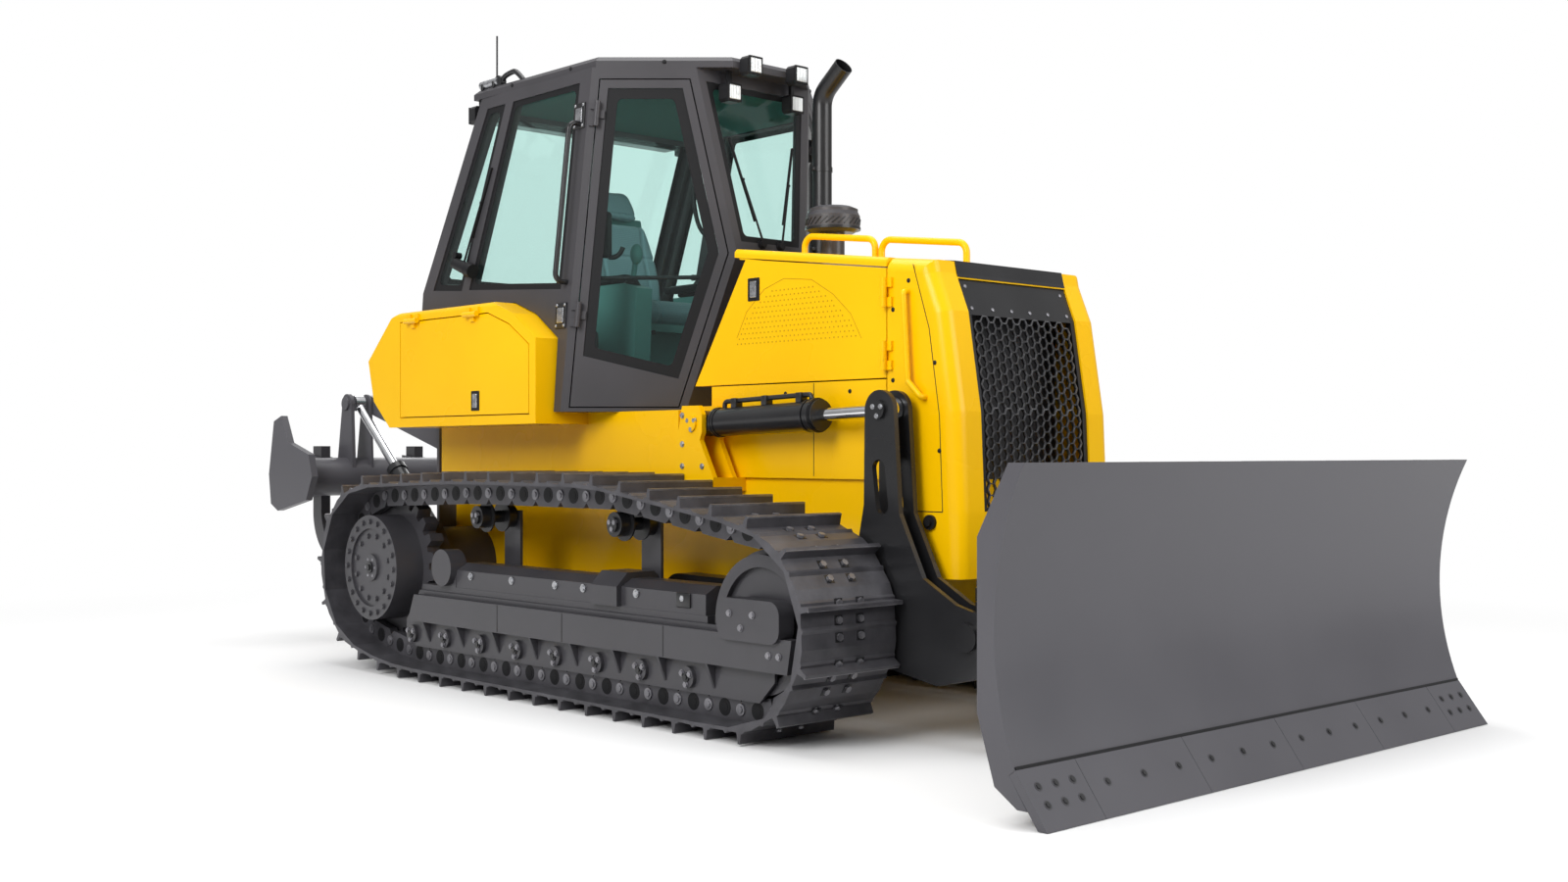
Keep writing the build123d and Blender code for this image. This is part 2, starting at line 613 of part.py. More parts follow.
# Hull, platform and engine
def make_main_frame():
    low, high = HULL_Z
    side = [(HULL_X[0], low + 120), (HULL_X[0], high), (HULL_X[1], high), (HULL_X[1], SKIRT_BOTTOM + 20),
            (HULL_X[1] - 500, low), (HULL_X[0] + 250, low)]
    hull = plate_xz(side, -HULL_HALF, HULL_HALF)
    cheek = block((COWL_X - PANEL_GAP, HULL_X[1] + 1), (HOOD_HALF - HOOD_WALL, HULL_HALF + 1), (low, high + 1))
    hull -= both(cheek)
    deck = block(DECK_X, (-BOX_IN, BOX_IN), (high, DECK_TOP))
    hull += deck
    shafts = round_y(PIVOT_SHAFT, PIVOT_SHAFT_R, HULL_HALF, GUARD_IN[0])
    shafts += block(EQUALISER_X, (HULL_HALF, GUARD_IN[0]), EQUALISER_Z)
    base_x, base_z = LIFT_BASE
    post = [(base_x - 95, high), (base_x - 95, base_z - 30), (base_x - 70, base_z + 80),
            (base_x + 45, base_z + 80),
            (base_x + 70, base_z + 40), (base_x + 70, base_z - 40), (base_x + 55, base_z - 75),
            (base_x + 150, high)]
    gap = LIFT_EYE / 2 + SIDE_GAP
    near, far = LIFT_Y - gap - BRACKET_PLATE, LIFT_Y + gap + BRACKET_PLATE
    for y_low, y_high in ((near, LIFT_Y - gap), (LIFT_Y + gap, far)):
        shafts += plate_xz(post, y_low, y_high)
    foot = block((base_x - 95, base_x + 150), (HULL_HALF, far), (high - 60, high))
    back = block((base_x - 125, base_x - 95), (HOOD_HALF, far), (high - 60, base_z + 60))
    shafts += foot + back
    shafts += round_y(LIFT_BASE, LIFT_PIN_R, near, far + PIN_HEAD)
    shafts += round_y(LIFT_PIVOT, LIFT_TRUNNION_R, HULL_HALF, ARM_OUT + 12)
    return hull + both(shafts)


save("main_frame", make_main_frame())
save("engine_block", block(ENGINE_X, (-ENGINE_HALF, ENGINE_HALF), (HULL_Z[1], ENGINE_TOP)))
radiator_half = GRILLE_HALF + RADIATOR_MARGIN
save("radiator", block(RADIATOR_X, (-radiator_half, radiator_half), (HULL_Z[1], RADIATOR_TOP)))


# Engine enclosure
def hood_line(x):
    for (x0, z0), (x1, z1) in zip(HOOD_TOP_LINE, HOOD_TOP_LINE[1:]):
        if x <= x1:
            return z0 + (z1 - z0) * (x - x0) / (x1 - x0)
    return HOOD_TOP_LINE[-1][1]


def make_hood_top():
    rear = HOOD_TOP_LINE[0][0]
    end = COWL_X - PANEL_GAP
    outline = [(rear, hood_line(rear)), (HOOD_TOP_LINE[1][0], HOOD_TOP_LINE[1][1]), (end, hood_line(end))]
    under = [(x, z - HOOD_WALL) for x, z in reversed(outline)]
    top = plate_xz(outline + under, -HOOD_HALF, HOOD_HALF)
    tongue = [(TONGUE[0], hood_line(TONGUE[0])), (rear + 1, hood_line(rear + 1))]
    tongue += [(x, z - HOOD_WALL) for x, z in reversed(tongue)]
    outer = top.edges().filter_by(lambda e: abs(e.center().Y) > HOOD_HALF - 1 and e.length > 300)
    long_edges = outer.sort_by(Axis.Z)
    shoulders = [edge for edge in long_edges if edge.center().Z > hood_line(edge.center().X) - HOOD_WALL / 2]
    return fillet(shoulders, HOOD_EDGE_R) + plate_xz(tongue, -TONGUE[1], TONGUE[1])


def make_front_cowl():
    top = HOOD_TOP_LINE[-1]
    outline = [(COWL_X, hood_line(COWL_X)), top, *NOSE_LINE[1:], (COWL_X + 60, SKIRT_BOTTOM),
               (COWL_X, COWL_REAR_LOW)]
    cowl = plate_xz(outline, -HOOD_HALF, HOOD_HALF)
    edges = [edge for edge in cowl.edges() if edge.center().X > COWL_X + 5
             and abs(edge.center().Y) > HOOD_HALF - 1
             and edge.center().Z > SKIRT_BOTTOM + 5 and abs(edge.tangent_at(0).Y) < 0.1]
    cowl = fillet(edges, COWL_EDGE_R)
    inner = [(COWL_X - 1, hood_line(COWL_X) - HOOD_WALL), (top[0] - 60, top[1] - HOOD_WALL)]
    inner += [(x - NOSE_DEEP, z) for x, z in NOSE_LINE[1:-1]]
    inner += [(NOSE_LINE[-1][0] - NOSE_DEEP, SKIRT_BOTTOM - 1), (COWL_X - 1, SKIRT_BOTTOM - 1)]
    cowl -= plate_xz(inner, -HOOD_HALF + HOOD_WALL, HOOD_HALF - HOOD_WALL)
    window = plate_yz([(-GRILLE_HALF, GRILLE_Z[0]), (GRILLE_HALF, GRILLE_Z[0]), (GRILLE_HALF, GRILLE_Z[1] - 20),
                       (-GRILLE_HALF, GRILLE_Z[1] - 20)], COWL_X + 100, NOSE_LINE[-1][0] + 10)
    return cowl - window


def nose_slab(z_low, z_high, near, far):
    line = [point for point in NOSE_LINE[1:5]]
    front = [(x - near, z) for x, z in line if z_low <= z <= z_high]
    back = [(x - far, z) for x, z in reversed(line) if z_low <= z <= z_high]
    return front + back


def make_grille():
    half = GRILLE_HALF - GLASS_FIT
    top = GRILLE_Z[1] - 20 - GLASS_FIT
    low = GRILLE_Z[0] + GLASS_FIT
    slab = plate_xz(nose_slab(GRILLE_Z[0], GRILLE_Z[1], 15, 15 + GRILLE_DEEP), -half, half)
    slab &= block((0, 3000), (-half, half), (low, top))
    cell = GRILLE_CELL
    row = cell * sqrt(3) / 2
    hole = (cell - GRILLE_BAR) / sqrt(3)
    holes = []
    rows = floor((GRILLE_SPLIT - 40 - low - 40) / row)
    for index in range(rows):
        z = low + 40 + row / 2 + index * row
        count = floor((2 * half - 40) / cell) - index % 2
        for column in range(count):
            holes.append(((column - (count - 1) / 2) * cell, z))
    sketch = Sketch() + [Pos(y, z) * RegularPolygon(hole, 6, rotation=90) for y, z in holes]
    cutter = extrude(Pos(COWL_X, 0, 0) * (Plane.YZ * sketch), amount=600, dir=(1, 0, 0))
    return slab - cutter


def make_engine_door():
    low, end = DOOR_BOTTOM, COWL_X - PANEL_GAP
    clear = HOOD_WALL + PANEL_GAP
    points = [(DOOR_REAR_LOW, low), (DOOR_REAR_HIGH, hood_line(DOOR_REAR_HIGH) - clear),
              (HOOD_TOP_LINE[1][0], HOOD_TOP_LINE[1][1] - clear), (end, hood_line(end) - clear), (end, low)]
    door = plate_xz(points, -HOOD_HALF, -HOOD_HALF + HOOD_WALL)
    return door


def make_lower_panels():
    low, high = HULL_Z[1], DOOR_BOTTOM - PANEL_GAP
    panel = block((DECK_X[1], COWL_X - PANEL_GAP), (-HOOD_HALF, -HOOD_HALF + HOOD_WALL), (low, high))
    panel += block((DECK_X[1], DECK_X[1] + 40), (-HOOD_HALF + HOOD_WALL, 0), (low, DECK_TOP))
    return both(panel)


def engine_door_hinges():
    fixed, moving = Part(), Part()
    for z in ENGINE_HINGE_Z:
        origin = (COWL_X - PANEL_GAP / 2, -HOOD_HALF - HINGE_STAND, z)
        pair = hinge_leaves(origin, (0, 0, 1), (-1, 0, 0), HINGE_STAND)
        fixed, moving = fixed + pair[0], moving + pair[1]
    return fixed, moving


engine_hinge_fixed, engine_hinge_moving = engine_door_hinges()
save("hood_top", make_hood_top())
save("front_cowl", make_front_cowl() + both(engine_hinge_fixed))
save("grille", make_grille())
save("lower_side_panels", make_lower_panels())
engine_door_right = make_engine_door() + engine_hinge_moving
save("engine_door_right", engine_door_right)
save("engine_door_left", mirrored(engine_door_right))


# Cab planes and corner lines, right side; the left side is its mirror image
DOOR_DIR = (cos(radians(DOOR_YAW)), sin(radians(DOOR_YAW)))


def door_point(along, z):
    return Vector(DOOR_ORIGIN[0] + DOOR_DIR[0] * along, DOOR_ORIGIN[1] + DOOR_DIR[1] * along, z)


def side_y(z):
    return -SIDE_TOP[0] - (SIDE_TOP[1] - z) * SIDE_LEAN


def ridge(z):
    return door_point((side_y(z) - DOOR_ORIGIN[1]) / DOOR_DIR[1], z)


def screen_x(z):
    if z >= KNEE_Z:
        return BROW_X + (BROW_Z - z) * (KNEE_X - BROW_X) / (BROW_Z - KNEE_Z)
    return KNEE_X + (FOOT_X - KNEE_X) * (KNEE_Z - z) / (KNEE_Z - CAB_FLOOR)


def front_corner(z):
    return door_point((screen_x(z) - DOOR_ORIGIN[0]) / DOOR_DIR[0], z)


def rear_x(z):
    return max(REAR_TOP_X - (REAR_TOP_Z - z) * REAR_LEAN, REAR_WALL_X)


def rear_corner(z):
    return Vector(rear_x(z), side_y(z), z)


DOOR_PLANE = Plane(origin=door_point(0, 0), x_dir=(*DOOR_DIR, 0), z_dir=(DOOR_DIR[1], -DOOR_DIR[0], 0))
SIDE_PLANE = Plane(origin=(0, side_y(CAB_TOP), CAB_TOP), x_dir=(1, 0, 0), z_dir=(0, -1, SIDE_LEAN))
SCREEN_SLOPE = (KNEE_X - BROW_X) / (BROW_Z - KNEE_Z)
SCREEN_PLANE = Plane(origin=(KNEE_X, 0, KNEE_Z), x_dir=(0, 1, 0), z_dir=(1, 0, SCREEN_SLOPE))
APRON_SLOPE = (KNEE_X - FOOT_X) / (KNEE_Z - CAB_FLOOR)
APRON_PLANE = Plane(origin=(KNEE_X, 0, KNEE_Z), x_dir=(0, 1, 0), z_dir=(1, 0, -APRON_SLOPE))
REAR_PLANE = Plane(origin=(REAR_TOP_X, 0, REAR_TOP_Z), x_dir=(0, 1, 0), z_dir=(-1, 0, REAR_LEAN))
BACK_PLANE = Plane(origin=(REAR_WALL_X, 0, CAB_FLOOR), x_dir=(0, 1, 0), z_dir=(-1, 0, 0))


def mirror_plane(plane):
    origin = Vector(plane.origin.X, -plane.origin.Y, plane.origin.Z)
    normal = Vector(plane.z_dir.X, -plane.z_dir.Y, plane.z_dir.Z)
    return Plane(origin=origin, z_dir=normal)


def cab_volume(inset, floor_z, top_z):
    planes = [DOOR_PLANE, mirror_plane(DOOR_PLANE), SIDE_PLANE, mirror_plane(SIDE_PLANE),
              SCREEN_PLANE, APRON_PLANE, REAR_PLANE, BACK_PLANE]
    shape = block((-2200, 1000), (-1200, 1200), (floor_z, top_z))
    for plane in planes:
        shape = split(shape, bisect_by=plane.offset(-inset), keep=Keep.BOTTOM)
    return shape


def box_block(grow):
    # room that the side boxes take beside the cab
    room = plate_xz([(BOX_PROFILE[0][0] + grow, 0), (BOX_PROFILE[1][0] + grow, BOX_PROFILE[1][1] + grow),
                     (BOX_PROFILE[2][0] + grow, BOX_PROFILE[2][1] + grow),
                     (BOX_PROFILE[3][0], BOX_PROFILE[3][1] + grow), (-2500, BOX_PROFILE[4][1] + grow),
                     (-2500, 0)], -1300, -BOX_IN + grow)
    return both(room)


def on_plane(plane, corners):
    return [plane.to_local_coords(Vector(*corner)) for corner in corners]


def panel(plane, corners, inset, deep_from, deep_to):
    flat = [(point.X, point.Y) for point in on_plane(plane, corners)]
    outline = make_face(Polyline(*flat, close=True))
    if inset:
        outline = offset(outline, -inset, kind=Kind.INTERSECTION)
    return extrude(plane.offset(deep_from) * outline, amount=deep_to - deep_from, dir=plane.z_dir)


def door_corners():
    top, low = DOOR_TOP_Z, DOOR_LOW_Z
    step = Vector(*DOOR_DIR, 0) * PILLAR
    return [ridge(top) + step, front_corner(top) - step, front_corner(KNEE_Z) - step, front_corner(low) - step,
            ridge(low) + step]


def sill_corners():
    # the door's window, above a steel panel whose top edge falls to the front
    step = Vector(*DOOR_DIR, 0) * PILLAR
    front, rear = DOOR_OPEN_SILL
    top = DOOR_TOP_Z
    return [ridge(top) + step, front_corner(top) - step, front_corner(KNEE_Z) - step,
            front_corner(front - 45) - step, ridge(rear - 45) + step]


def side_point(x, z):
    return Vector(x, side_y(z), z)


def side_window(front):
    # each side has a front and a rear pane, parted by a leaning mullion
    top = DOOR_TOP_Z
    mid_top, mid_low = MULLION_X
    sill = lambda x: SIDE_SILL[0][1] + (SIDE_SILL[1][1] - SIDE_SILL[0][1]) * (x - SIDE_SILL[0][0]) / (
        SIDE_SILL[1][0] - SIDE_SILL[0][0])
    if front:
        return [side_point(mid_top + MULLION, top), side_point(ridge(top).X - 2 * PILLAR, top),
                side_point(ridge(sill(-300)).X - 2 * PILLAR, sill(-300)),
                side_point(mid_low + MULLION, sill(mid_low))]
    end = rear_x(top) + 2 * PILLAR
    low = rear_x(sill(-1500)) + 2.2 * PILLAR
    return [side_point(end, top), side_point(mid_top - MULLION, top),
            side_point(mid_low - MULLION, sill(mid_low)), side_point(low, sill(low))]


def screen_corners():
    points = []
    for z, sign in ((SCREEN_HIGH, -1), (SCREEN_HIGH, 1), (SCREEN_LOW, 1), (SCREEN_LOW, -1)):
        corner = front_corner(z)
        points.append(Vector(corner.X, sign * (-corner.Y - PILLAR), z))
    return points


def rear_corners():
    points = []
    for z, sign in ((DOOR_TOP_Z, 1), (DOOR_TOP_Z, -1), (REAR_SILL_Z, -1), (REAR_SILL_Z, 1)):
        points.append(Vector(rear_x(z), sign * (-side_y(z) - 2 * PILLAR), z))
    return points


def make_cab_frame():
    wall = CAB_WALL
    shell = cab_volume(0, CAB_FLOOR, CAB_TOP) - box_block(BOX_CLEAR)
    room = cab_volume(wall, CAB_FLOOR + wall / 2, CAB_TOP + 1) - box_block(BOX_CLEAR + wall / 2)
    shell -= room
    doorway = panel(DOOR_PLANE, door_corners(), -PANEL_GAP, -wall - 5, 30)
    shell -= both(doorway)
    for front in (True, False):
        shell -= both(panel(SIDE_PLANE, side_window(front), 0, -wall - 5, 30))
    shell -= panel(SCREEN_PLANE, screen_corners(), 0, -wall - 5, 30)
    shell -= panel(REAR_PLANE, rear_corners(), 0, -wall - 5, 30)
    rim = cab_volume(wall, CAB_TOP - 45, CAB_TOP) - cab_volume(wall + 45, CAB_TOP - 46, CAB_TOP + 1)
    return shell + rim


def make_cab_windows():
    low, high = -GLASS_SINK - GLASS_THICK, -GLASS_SINK
    panes = [panel(SCREEN_PLANE, screen_corners(), GLASS_FIT, low, high),
             panel(REAR_PLANE, rear_corners(), GLASS_FIT, low, high)]
    for front in (True, False):
        pane = panel(SIDE_PLANE, side_window(front), GLASS_FIT, low, high)
        panes += [pane, mirrored(pane)]
    return Compound(children=panes)


def make_door():
    frame = panel(DOOR_PLANE, door_corners(), 0, -DOOR_THICK, 0)
    frame -= panel(DOOR_PLANE, sill_corners(), DOOR_RAIL, -DOOR_THICK - 5, 5)
    return frame


def make_door_glass():
    return panel(DOOR_PLANE, sill_corners(), DOOR_RAIL + GLASS_FIT, -GLASS_SINK - GLASS_THICK, -GLASS_SINK)


def make_roof():
    right = [(x, -y) for x, y in ROOF_PLAN]
    left = [(x, y) for x, y in reversed(ROOF_PLAN)]
    roof = plate_xy(right + left, *ROOF_Z)
    return chamfer(roof.faces().sort_by(Axis.Z)[-1].edges(), ROOF_EDGE)


def door_hinges():
    # on the rear edge of the right door, which leans with the cab's ridge
    step = Vector(*DOOR_DIR, 0) * PILLAR + DOOR_PLANE.z_dir * HINGE_STAND
    axis = ridge(DOOR_TOP_Z) - ridge(DOOR_LOW_Z)
    along = Vector(*DOOR_DIR, 0)
    along -= axis * (along.dot(axis) / axis.dot(axis))
    fixed, moving = Part(), Part()
    for z in DOOR_HINGE_Z:
        pair = hinge_leaves(ridge(z) + step, axis * -1, along, HINGE_STAND)
        fixed, moving = fixed + pair[0], moving + pair[1]
    return fixed, moving


door_hinge_fixed, door_hinge_moving = door_hinges()
save("cab_frame", make_cab_frame() + both(door_hinge_fixed))
save("cab_windows", make_cab_windows())
save("cab_roof", make_roof())
door_right = make_door() + door_hinge_moving
save("door_right", door_right)
save("door_left", mirrored(door_right))
glass_right = make_door_glass()
save("door_right_glass", glass_right)
save("door_left_glass", mirrored(glass_right))


# Seat and controls


def seat_back_x(z):
    return SEAT_X[0] - (z - SEAT_Z) * SEAT_RECLINE


def make_seat_frame():
    low, high = SEAT_Z - SEAT_PAN, SEAT_BACK_Z
    base = block(SEAT_BASE_X, (-SEAT_BASE_HALF, SEAT_BASE_HALF), (ROOM_FLOOR, low))
    pan = block(SEAT_X, (-SEAT_HALF, SEAT_HALF), (low, SEAT_Z))
    back = [(seat_back_x(low), low), (seat_back_x(high), high), (seat_back_x(high) - SEAT_PAN, high),
            (SEAT_X[0] - SEAT_PAN, low)]
    shell = base + pan + plate_xz(back, -SEAT_HALF + 30, SEAT_HALF - 30)
    return fillet(shell.edges().filter_by(Axis.Y).group_by(Axis.Z)[-1], 15)


def make_seat_pads():
    low, high = SEAT_Z + 135, SEAT_BACK_Z - 40
    fit = GLASS_FIT
    cushion = [(-810, SEAT_Z), (-330, SEAT_Z), (-300, SEAT_Z + 60), (-330, SEAT_Z + 130), (-780, SEAT_Z + 110)]
    back = [(seat_back_x(low) + fit, low), (seat_back_x(low) + 90, low), (seat_back_x(high) + 95, high),
            (seat_back_x(high) + fit, high)]
    head_z = high + 15
    head = [(seat_back_x(head_z) + fit, head_z), (seat_back_x(head_z) + 85, head_z),
            (seat_back_x(head_z) + 75, head_z + HEADREST[1]), (seat_back_x(head_z) + fit, head_z + HEADREST[1])]
    pads = [plate_xz(cushion, -SEAT_HALF, SEAT_HALF), plate_xz(back, -SEAT_HALF + 10, SEAT_HALF - 10),
            plate_xz(head, -HEADREST[0], HEADREST[0])]
    return Compound(children=pads)


def make_controls():
    low = ROOM_FLOOR
    side = [(-780, low), (-300, low), (-220, low + 160), (-200, 1960), (-300, 1990), (-780, 1990)]
    console = plate_xz(side, *CONSOLE_Y)
    middle = sum(CONSOLE_Y) / 2
    lever = round_bar((-300, middle, 1985), (-270, middle, 2110), 14)
    grip = Pos(-265, middle, 2135) * scale(Sphere(1), by=(34, 30, 52))
    pods = both(console + lever + grip)
    desk = plate_xz([(40, low), (90, low), (130, 1900), (105, 2030), (32, 1970), (60, 1880)], -170, 170)
    return pods + desk


save("seat_frame", make_seat_frame())
save("seat_pads", make_seat_pads())
save("cab_controls", make_controls())


# Side boxes with a hinged cover each
def make_box():
    body = plate_xz(BOX_PROFILE, BOX_IN, BOX_OUT)
    body -= plate_xz(BOX_ROOM, BOX_IN + BOX_WALL, BOX_OUT + 1)
    grown = offset(make_face(Polyline(*COVER_PROFILE, close=True)), PANEL_GAP, kind=Kind.INTERSECTION)
    recess = extrude(Pos(0, BOX_OUT - BOX_WALL, 0) * (Plane.XZ * grown), amount=BOX_WALL + 1, dir=(0, 1, 0))
    body -= recess
    crest = BOX_PROFILE[3][1] - 1
    rim = [edge for edge in body.edges() if abs(edge.center().Y - BOX_OUT) < 1 and edge.center().Z > crest
           and edge.length > 500]
    return fillet(rim, BOX_EDGE_R)


def make_box_cover():
    return plate_xz(COVER_PROFILE, BOX_OUT - BOX_WALL + PANEL_GAP, BOX_OUT)


def cover_hinges():
    fixed, moving = Part(), Part()
    for x in COVER_HINGE_X:
        origin = (x, BOX_OUT + HINGE_STAND, COVER_PROFILE[3][1] + PANEL_GAP / 2)
        pair = hinge_leaves(origin, (1, 0, 0), (0, 0, -1), HINGE_STAND)
        fixed, moving = fixed + pair[0], moving + pair[1]
    return fixed, moving


cover_hinge_fixed, cover_hinge_moving = cover_hinges()
box_left = make_box() + cover_hinge_fixed
save("box_left", box_left)
save("box_right", mirrored(box_left))
cover_left = make_box_cover() + cover_hinge_moving
save("box_cover_left", cover_left)
save("box_cover_right", mirrored(cover_left))


# Push frame with its lift cylinders
def make_c_frame():
    x, z = LIFT_PIVOT
    arm = plate_xz([(x, z + ARM_EYE_R), (1480, 575), (1640, 575), (1640, 330), (1500, 330), (x, z - ARM_EYE_R)],
                   ARM_IN, ARM_OUT)
    arm += round_y(LIFT_PIVOT, ARM_EYE_R, ARM_IN, ARM_OUT)
    pin_x, pin_z = LIFT_ROD_PIN
    eye_r = UPRIGHT_EYE_R
    web = [(pin_x - eye_r, pin_z), (1640, 931), (1560, 560), (1500, 330), (2038, 240),
           (CROSSBAR_X[1], CROSSBAR_Z[0]),
           (CROSSBAR_X[1], CROSSBAR_Z[1]), (2250, 530), (2130, 560), (1961, 652), (1835, 900),
           (pin_x + eye_r, pin_z)]
    gap = LIFT_ROD_EYE / 2 + SIDE_GAP
    for low, high in ((ARM_IN, LIFT_Y - gap), (LIFT_Y + gap, ARM_OUT)):
        arm += plate_xz(web, low, high) + round_y(LIFT_ROD_PIN, eye_r, low, high)
    fill = [(1560, 560), (1640, 330), (2038, 240), (CROSSBAR_X[1], CROSSBAR_Z[0]),
            (CROSSBAR_X[1], CROSSBAR_Z[1]), (2150, 520), (1961, 600), (1750, 760), (1640, 760)]
    arm += plate_xz(fill, LIFT_Y - gap, LIFT_Y + gap)
    arm += round_y(LIFT_ROD_PIN, 38, ARM_OUT, ARM_OUT + 14) + round_y(ANGLE_BOSS, 55, ARM_OUT, ARM_OUT + 16)
    arm -= round_y(LIFT_PIVOT, LIFT_TRUNNION_R + PIN_GAP, 0, 900)
    arm -= capsule_xz(UPRIGHT_SLOT[0], UPRIGHT_SLOT[1], SLOT_R + 0.1, SLOT_R, ARM_IN - 1, ARM_OUT + 1)
    base_x, base_y = ANGLE_BASE
    post = round_bar((base_x, base_y, CROSSBAR_Z[1]), (base_x, base_y, ANGLE_Z - ANGLE_EYE / 2 - SIDE_GAP), 40)
    pin_top = ANGLE_Z + ANGLE_EYE / 2 + SIDE_GAP
    post += round_bar((base_x, base_y, CROSSBAR_Z[1]), (base_x, base_y, pin_top + 20), ANGLE_PIN_R)
    post += round_bar((base_x, base_y, pin_top), (base_x, base_y, pin_top + 20), ANGLE_PIN_R + 14)
    frame = both(arm + post)
    frame += block(CROSSBAR_X, (-ARM_IN, ARM_IN), CROSSBAR_Z)
    x = CROSSBAR_X[1]
    nose = plate_xy([(x - 20, -330), (KINGPIN_X, -NOSE_R), (KINGPIN_X, NOSE_R), (x - 20, 330)], *NOSE_Z)
    nose += round_bar((KINGPIN_X, 0, NOSE_Z[0]), (KINGPIN_X, 0, NOSE_Z[1]), NOSE_R)
    frame += nose
    return frame - round_bar((KINGPIN_X, 0, 0), (KINGPIN_X, 0, 1000), KINGPIN_R + PIN_GAP)


def make_barrel(length, start, radius, rod_r, eye, eye_r, pin_r):
    # lying along +X from its base pin, whose axis is +Y
    tube = round_bar((start, 0, 0), (length, 0, 0), radius)
    tube += round_bar((length - 40, 0, 0), (length, 0, 0), radius + 8)
    neck = block((0, start), (-eye / 2, eye / 2), (-0.6 * eye_r, 0.6 * eye_r))
    tube += neck + round_y((0, 0), eye_r, -eye / 2, eye / 2)
    tube -= round_bar((start + 10, 0, 0), (length + 1, 0, 0), rod_r + FACE_GAP)
    return tube - round_y((0, 0), pin_r + PIN_GAP, -eye, eye)


def make_rod(length, radius, eye, eye_r):
    # lying along -X from the middle of its eye
    rod = round_bar((-length, 0, 0), (0, 0, 0), radius)
    return rod + round_y((0, 0), eye_r, -eye / 2, eye / 2)


def lean_xz(start, end):
    return degrees(atan2(end[1] - start[1], end[0] - start[0]))


def place_xz(shape, point, lean, y):
    return Pos(point[0], y, point[1]) * Rot(0, -lean, 0) * shape


save("c_frame", make_c_frame())
lift_lean = lean_xz(LIFT_BASE, LIFT_ROD_PIN)
lift_barrel = make_barrel(LIFT_BARREL_END, LIFT_BARREL_START, BARREL_R, ROD_R, LIFT_EYE, LIFT_EYE_R, LIFT_PIN_R)
pipe_z = BARREL_R + PIPE_STAND
pipe_ends = (LIFT_PIPE_X[0], 0, BARREL_R - 4), (LIFT_PIPE_X[1], 0, BARREL_R - 4)
pipe_path = [pipe_ends[0], (LIFT_PIPE_X[0], 0, pipe_z), (LIFT_PIPE_X[1], 0, pipe_z), pipe_ends[1]]
lift_barrel += bent_bar(pipe_path, PIPE_R, 1.8 * PIPE_R)
save("lift_barrels", both(place_xz(lift_barrel, LIFT_BASE, lift_lean, LIFT_Y)))
lift_rod = make_rod(LIFT_ROD_LENGTH, ROD_R, LIFT_ROD_EYE, LIFT_ROD_EYE_R)
save("lift_rods", both(place_xz(lift_rod, LIFT_ROD_PIN, lift_lean, LIFT_Y)))


# Yoke on the kingpin, angle and tilt cylinders
def make_yoke():
    low, high = NOSE_Z
    ears = Part()
    for z0, z1 in ((low - SIDE_GAP - 65, low - SIDE_GAP), (high + SIDE_GAP, WING_TOP)):
        ears += round_bar((KINGPIN_X, 0, z0), (KINGPIN_X, 0, z1), 105)
        ears += block((KINGPIN_X, YOKE_FACE), (-105, 105), (z0, z1))
    web = block((KINGPIN_X + NOSE_R + 25, YOKE_FACE), (-105, 105), (low - SIDE_GAP - 65, WING_TOP))
    pin = round_bar((KINGPIN_X, 0, low - 40), (KINGPIN_X, 0, high + 60), KINGPIN_R)
    lug_x, lug_y = ANGLE_LUG
    wing = plate_xy([(KINGPIN_X - 20, 60), (lug_x - 50, lug_y + 30), (lug_x - 20, lug_y + 55),
                     (lug_x + 20, lug_y + 55),
                     (YOKE_FACE, lug_y + 30), (YOKE_FACE, 60)], high + SIDE_GAP, WING_TOP)
    roof_z = ANGLE_Z + ANGLE_EYE / 2 + SIDE_GAP
    wing += block((lug_x + 85, YOKE_FACE), (lug_y - 50, lug_y + 50), (WING_TOP, roof_z + 25))
    wing += block((lug_x - 40, YOKE_FACE), (lug_y - 50, lug_y + 50), (roof_z, roof_z + 25))
    mast = plate_yz([(-150, WING_TOP), (TILT_BASE[0] + 60, WING_TOP), (TILT_BASE[0] + 60, TILT_BASE[1] + 50),
                     (TILT_BASE[0] - 60, TILT_BASE[1] + 50), (-60, roof_z + 60)], YOKE_FACE - 60, YOKE_FACE)
    tilt_pin = round_bar((YOKE_FACE, 0, TILT_Z), (YOKE_FACE + 120, 0, TILT_Z), TILT_PIN_R)
    base_pin = round_bar((YOKE_FACE, *TILT_BASE), (TILT_CYL_X + 25, *TILT_BASE), TILT_CYL_PIN_R)
    return ears + web + pin + both(wing) + mast + tilt_pin + base_pin


save("blade_yoke", make_yoke())


def place_xy(shape, point, lean, z):
    return Pos(point[0], point[1], z) * Rot(0, 0, lean) * Rot(90, 0, 0) * shape


angle_base = (ANGLE_BASE[0], -ANGLE_BASE[1])
angle_lug = (ANGLE_LUG[0], -ANGLE_LUG[1])
angle_lean = lean_xz(angle_base, angle_lug)
angle_barrel = make_barrel(ANGLE_BARREL[1], ANGLE_BARREL[0], ANGLE_BARREL_R, ANGLE_ROD_R, ANGLE_EYE,
                           ANGLE_EYE_R, ANGLE_PIN_R)
angle_rod = make_rod(ANGLE_ROD_LENGTH, ANGLE_ROD_R, ANGLE_EYE, ANGLE_ROD_EYE_R)
barrel_right = place_xy(angle_barrel, angle_base, angle_lean, ANGLE_Z)
rod_right = place_xy(angle_rod, angle_lug, angle_lean, ANGLE_Z)
save("angle_barrel_right", barrel_right)
save("angle_barrel_left", mirrored(barrel_right))
save("angle_rod_right", rod_right)
save("angle_rod_left", mirrored(rod_right))


def place_yz(shape, point):
    # lying along -Y, with the base pin along X
    return Pos(TILT_CYL_X, *point) * Rot(0, 0, -90) * shape


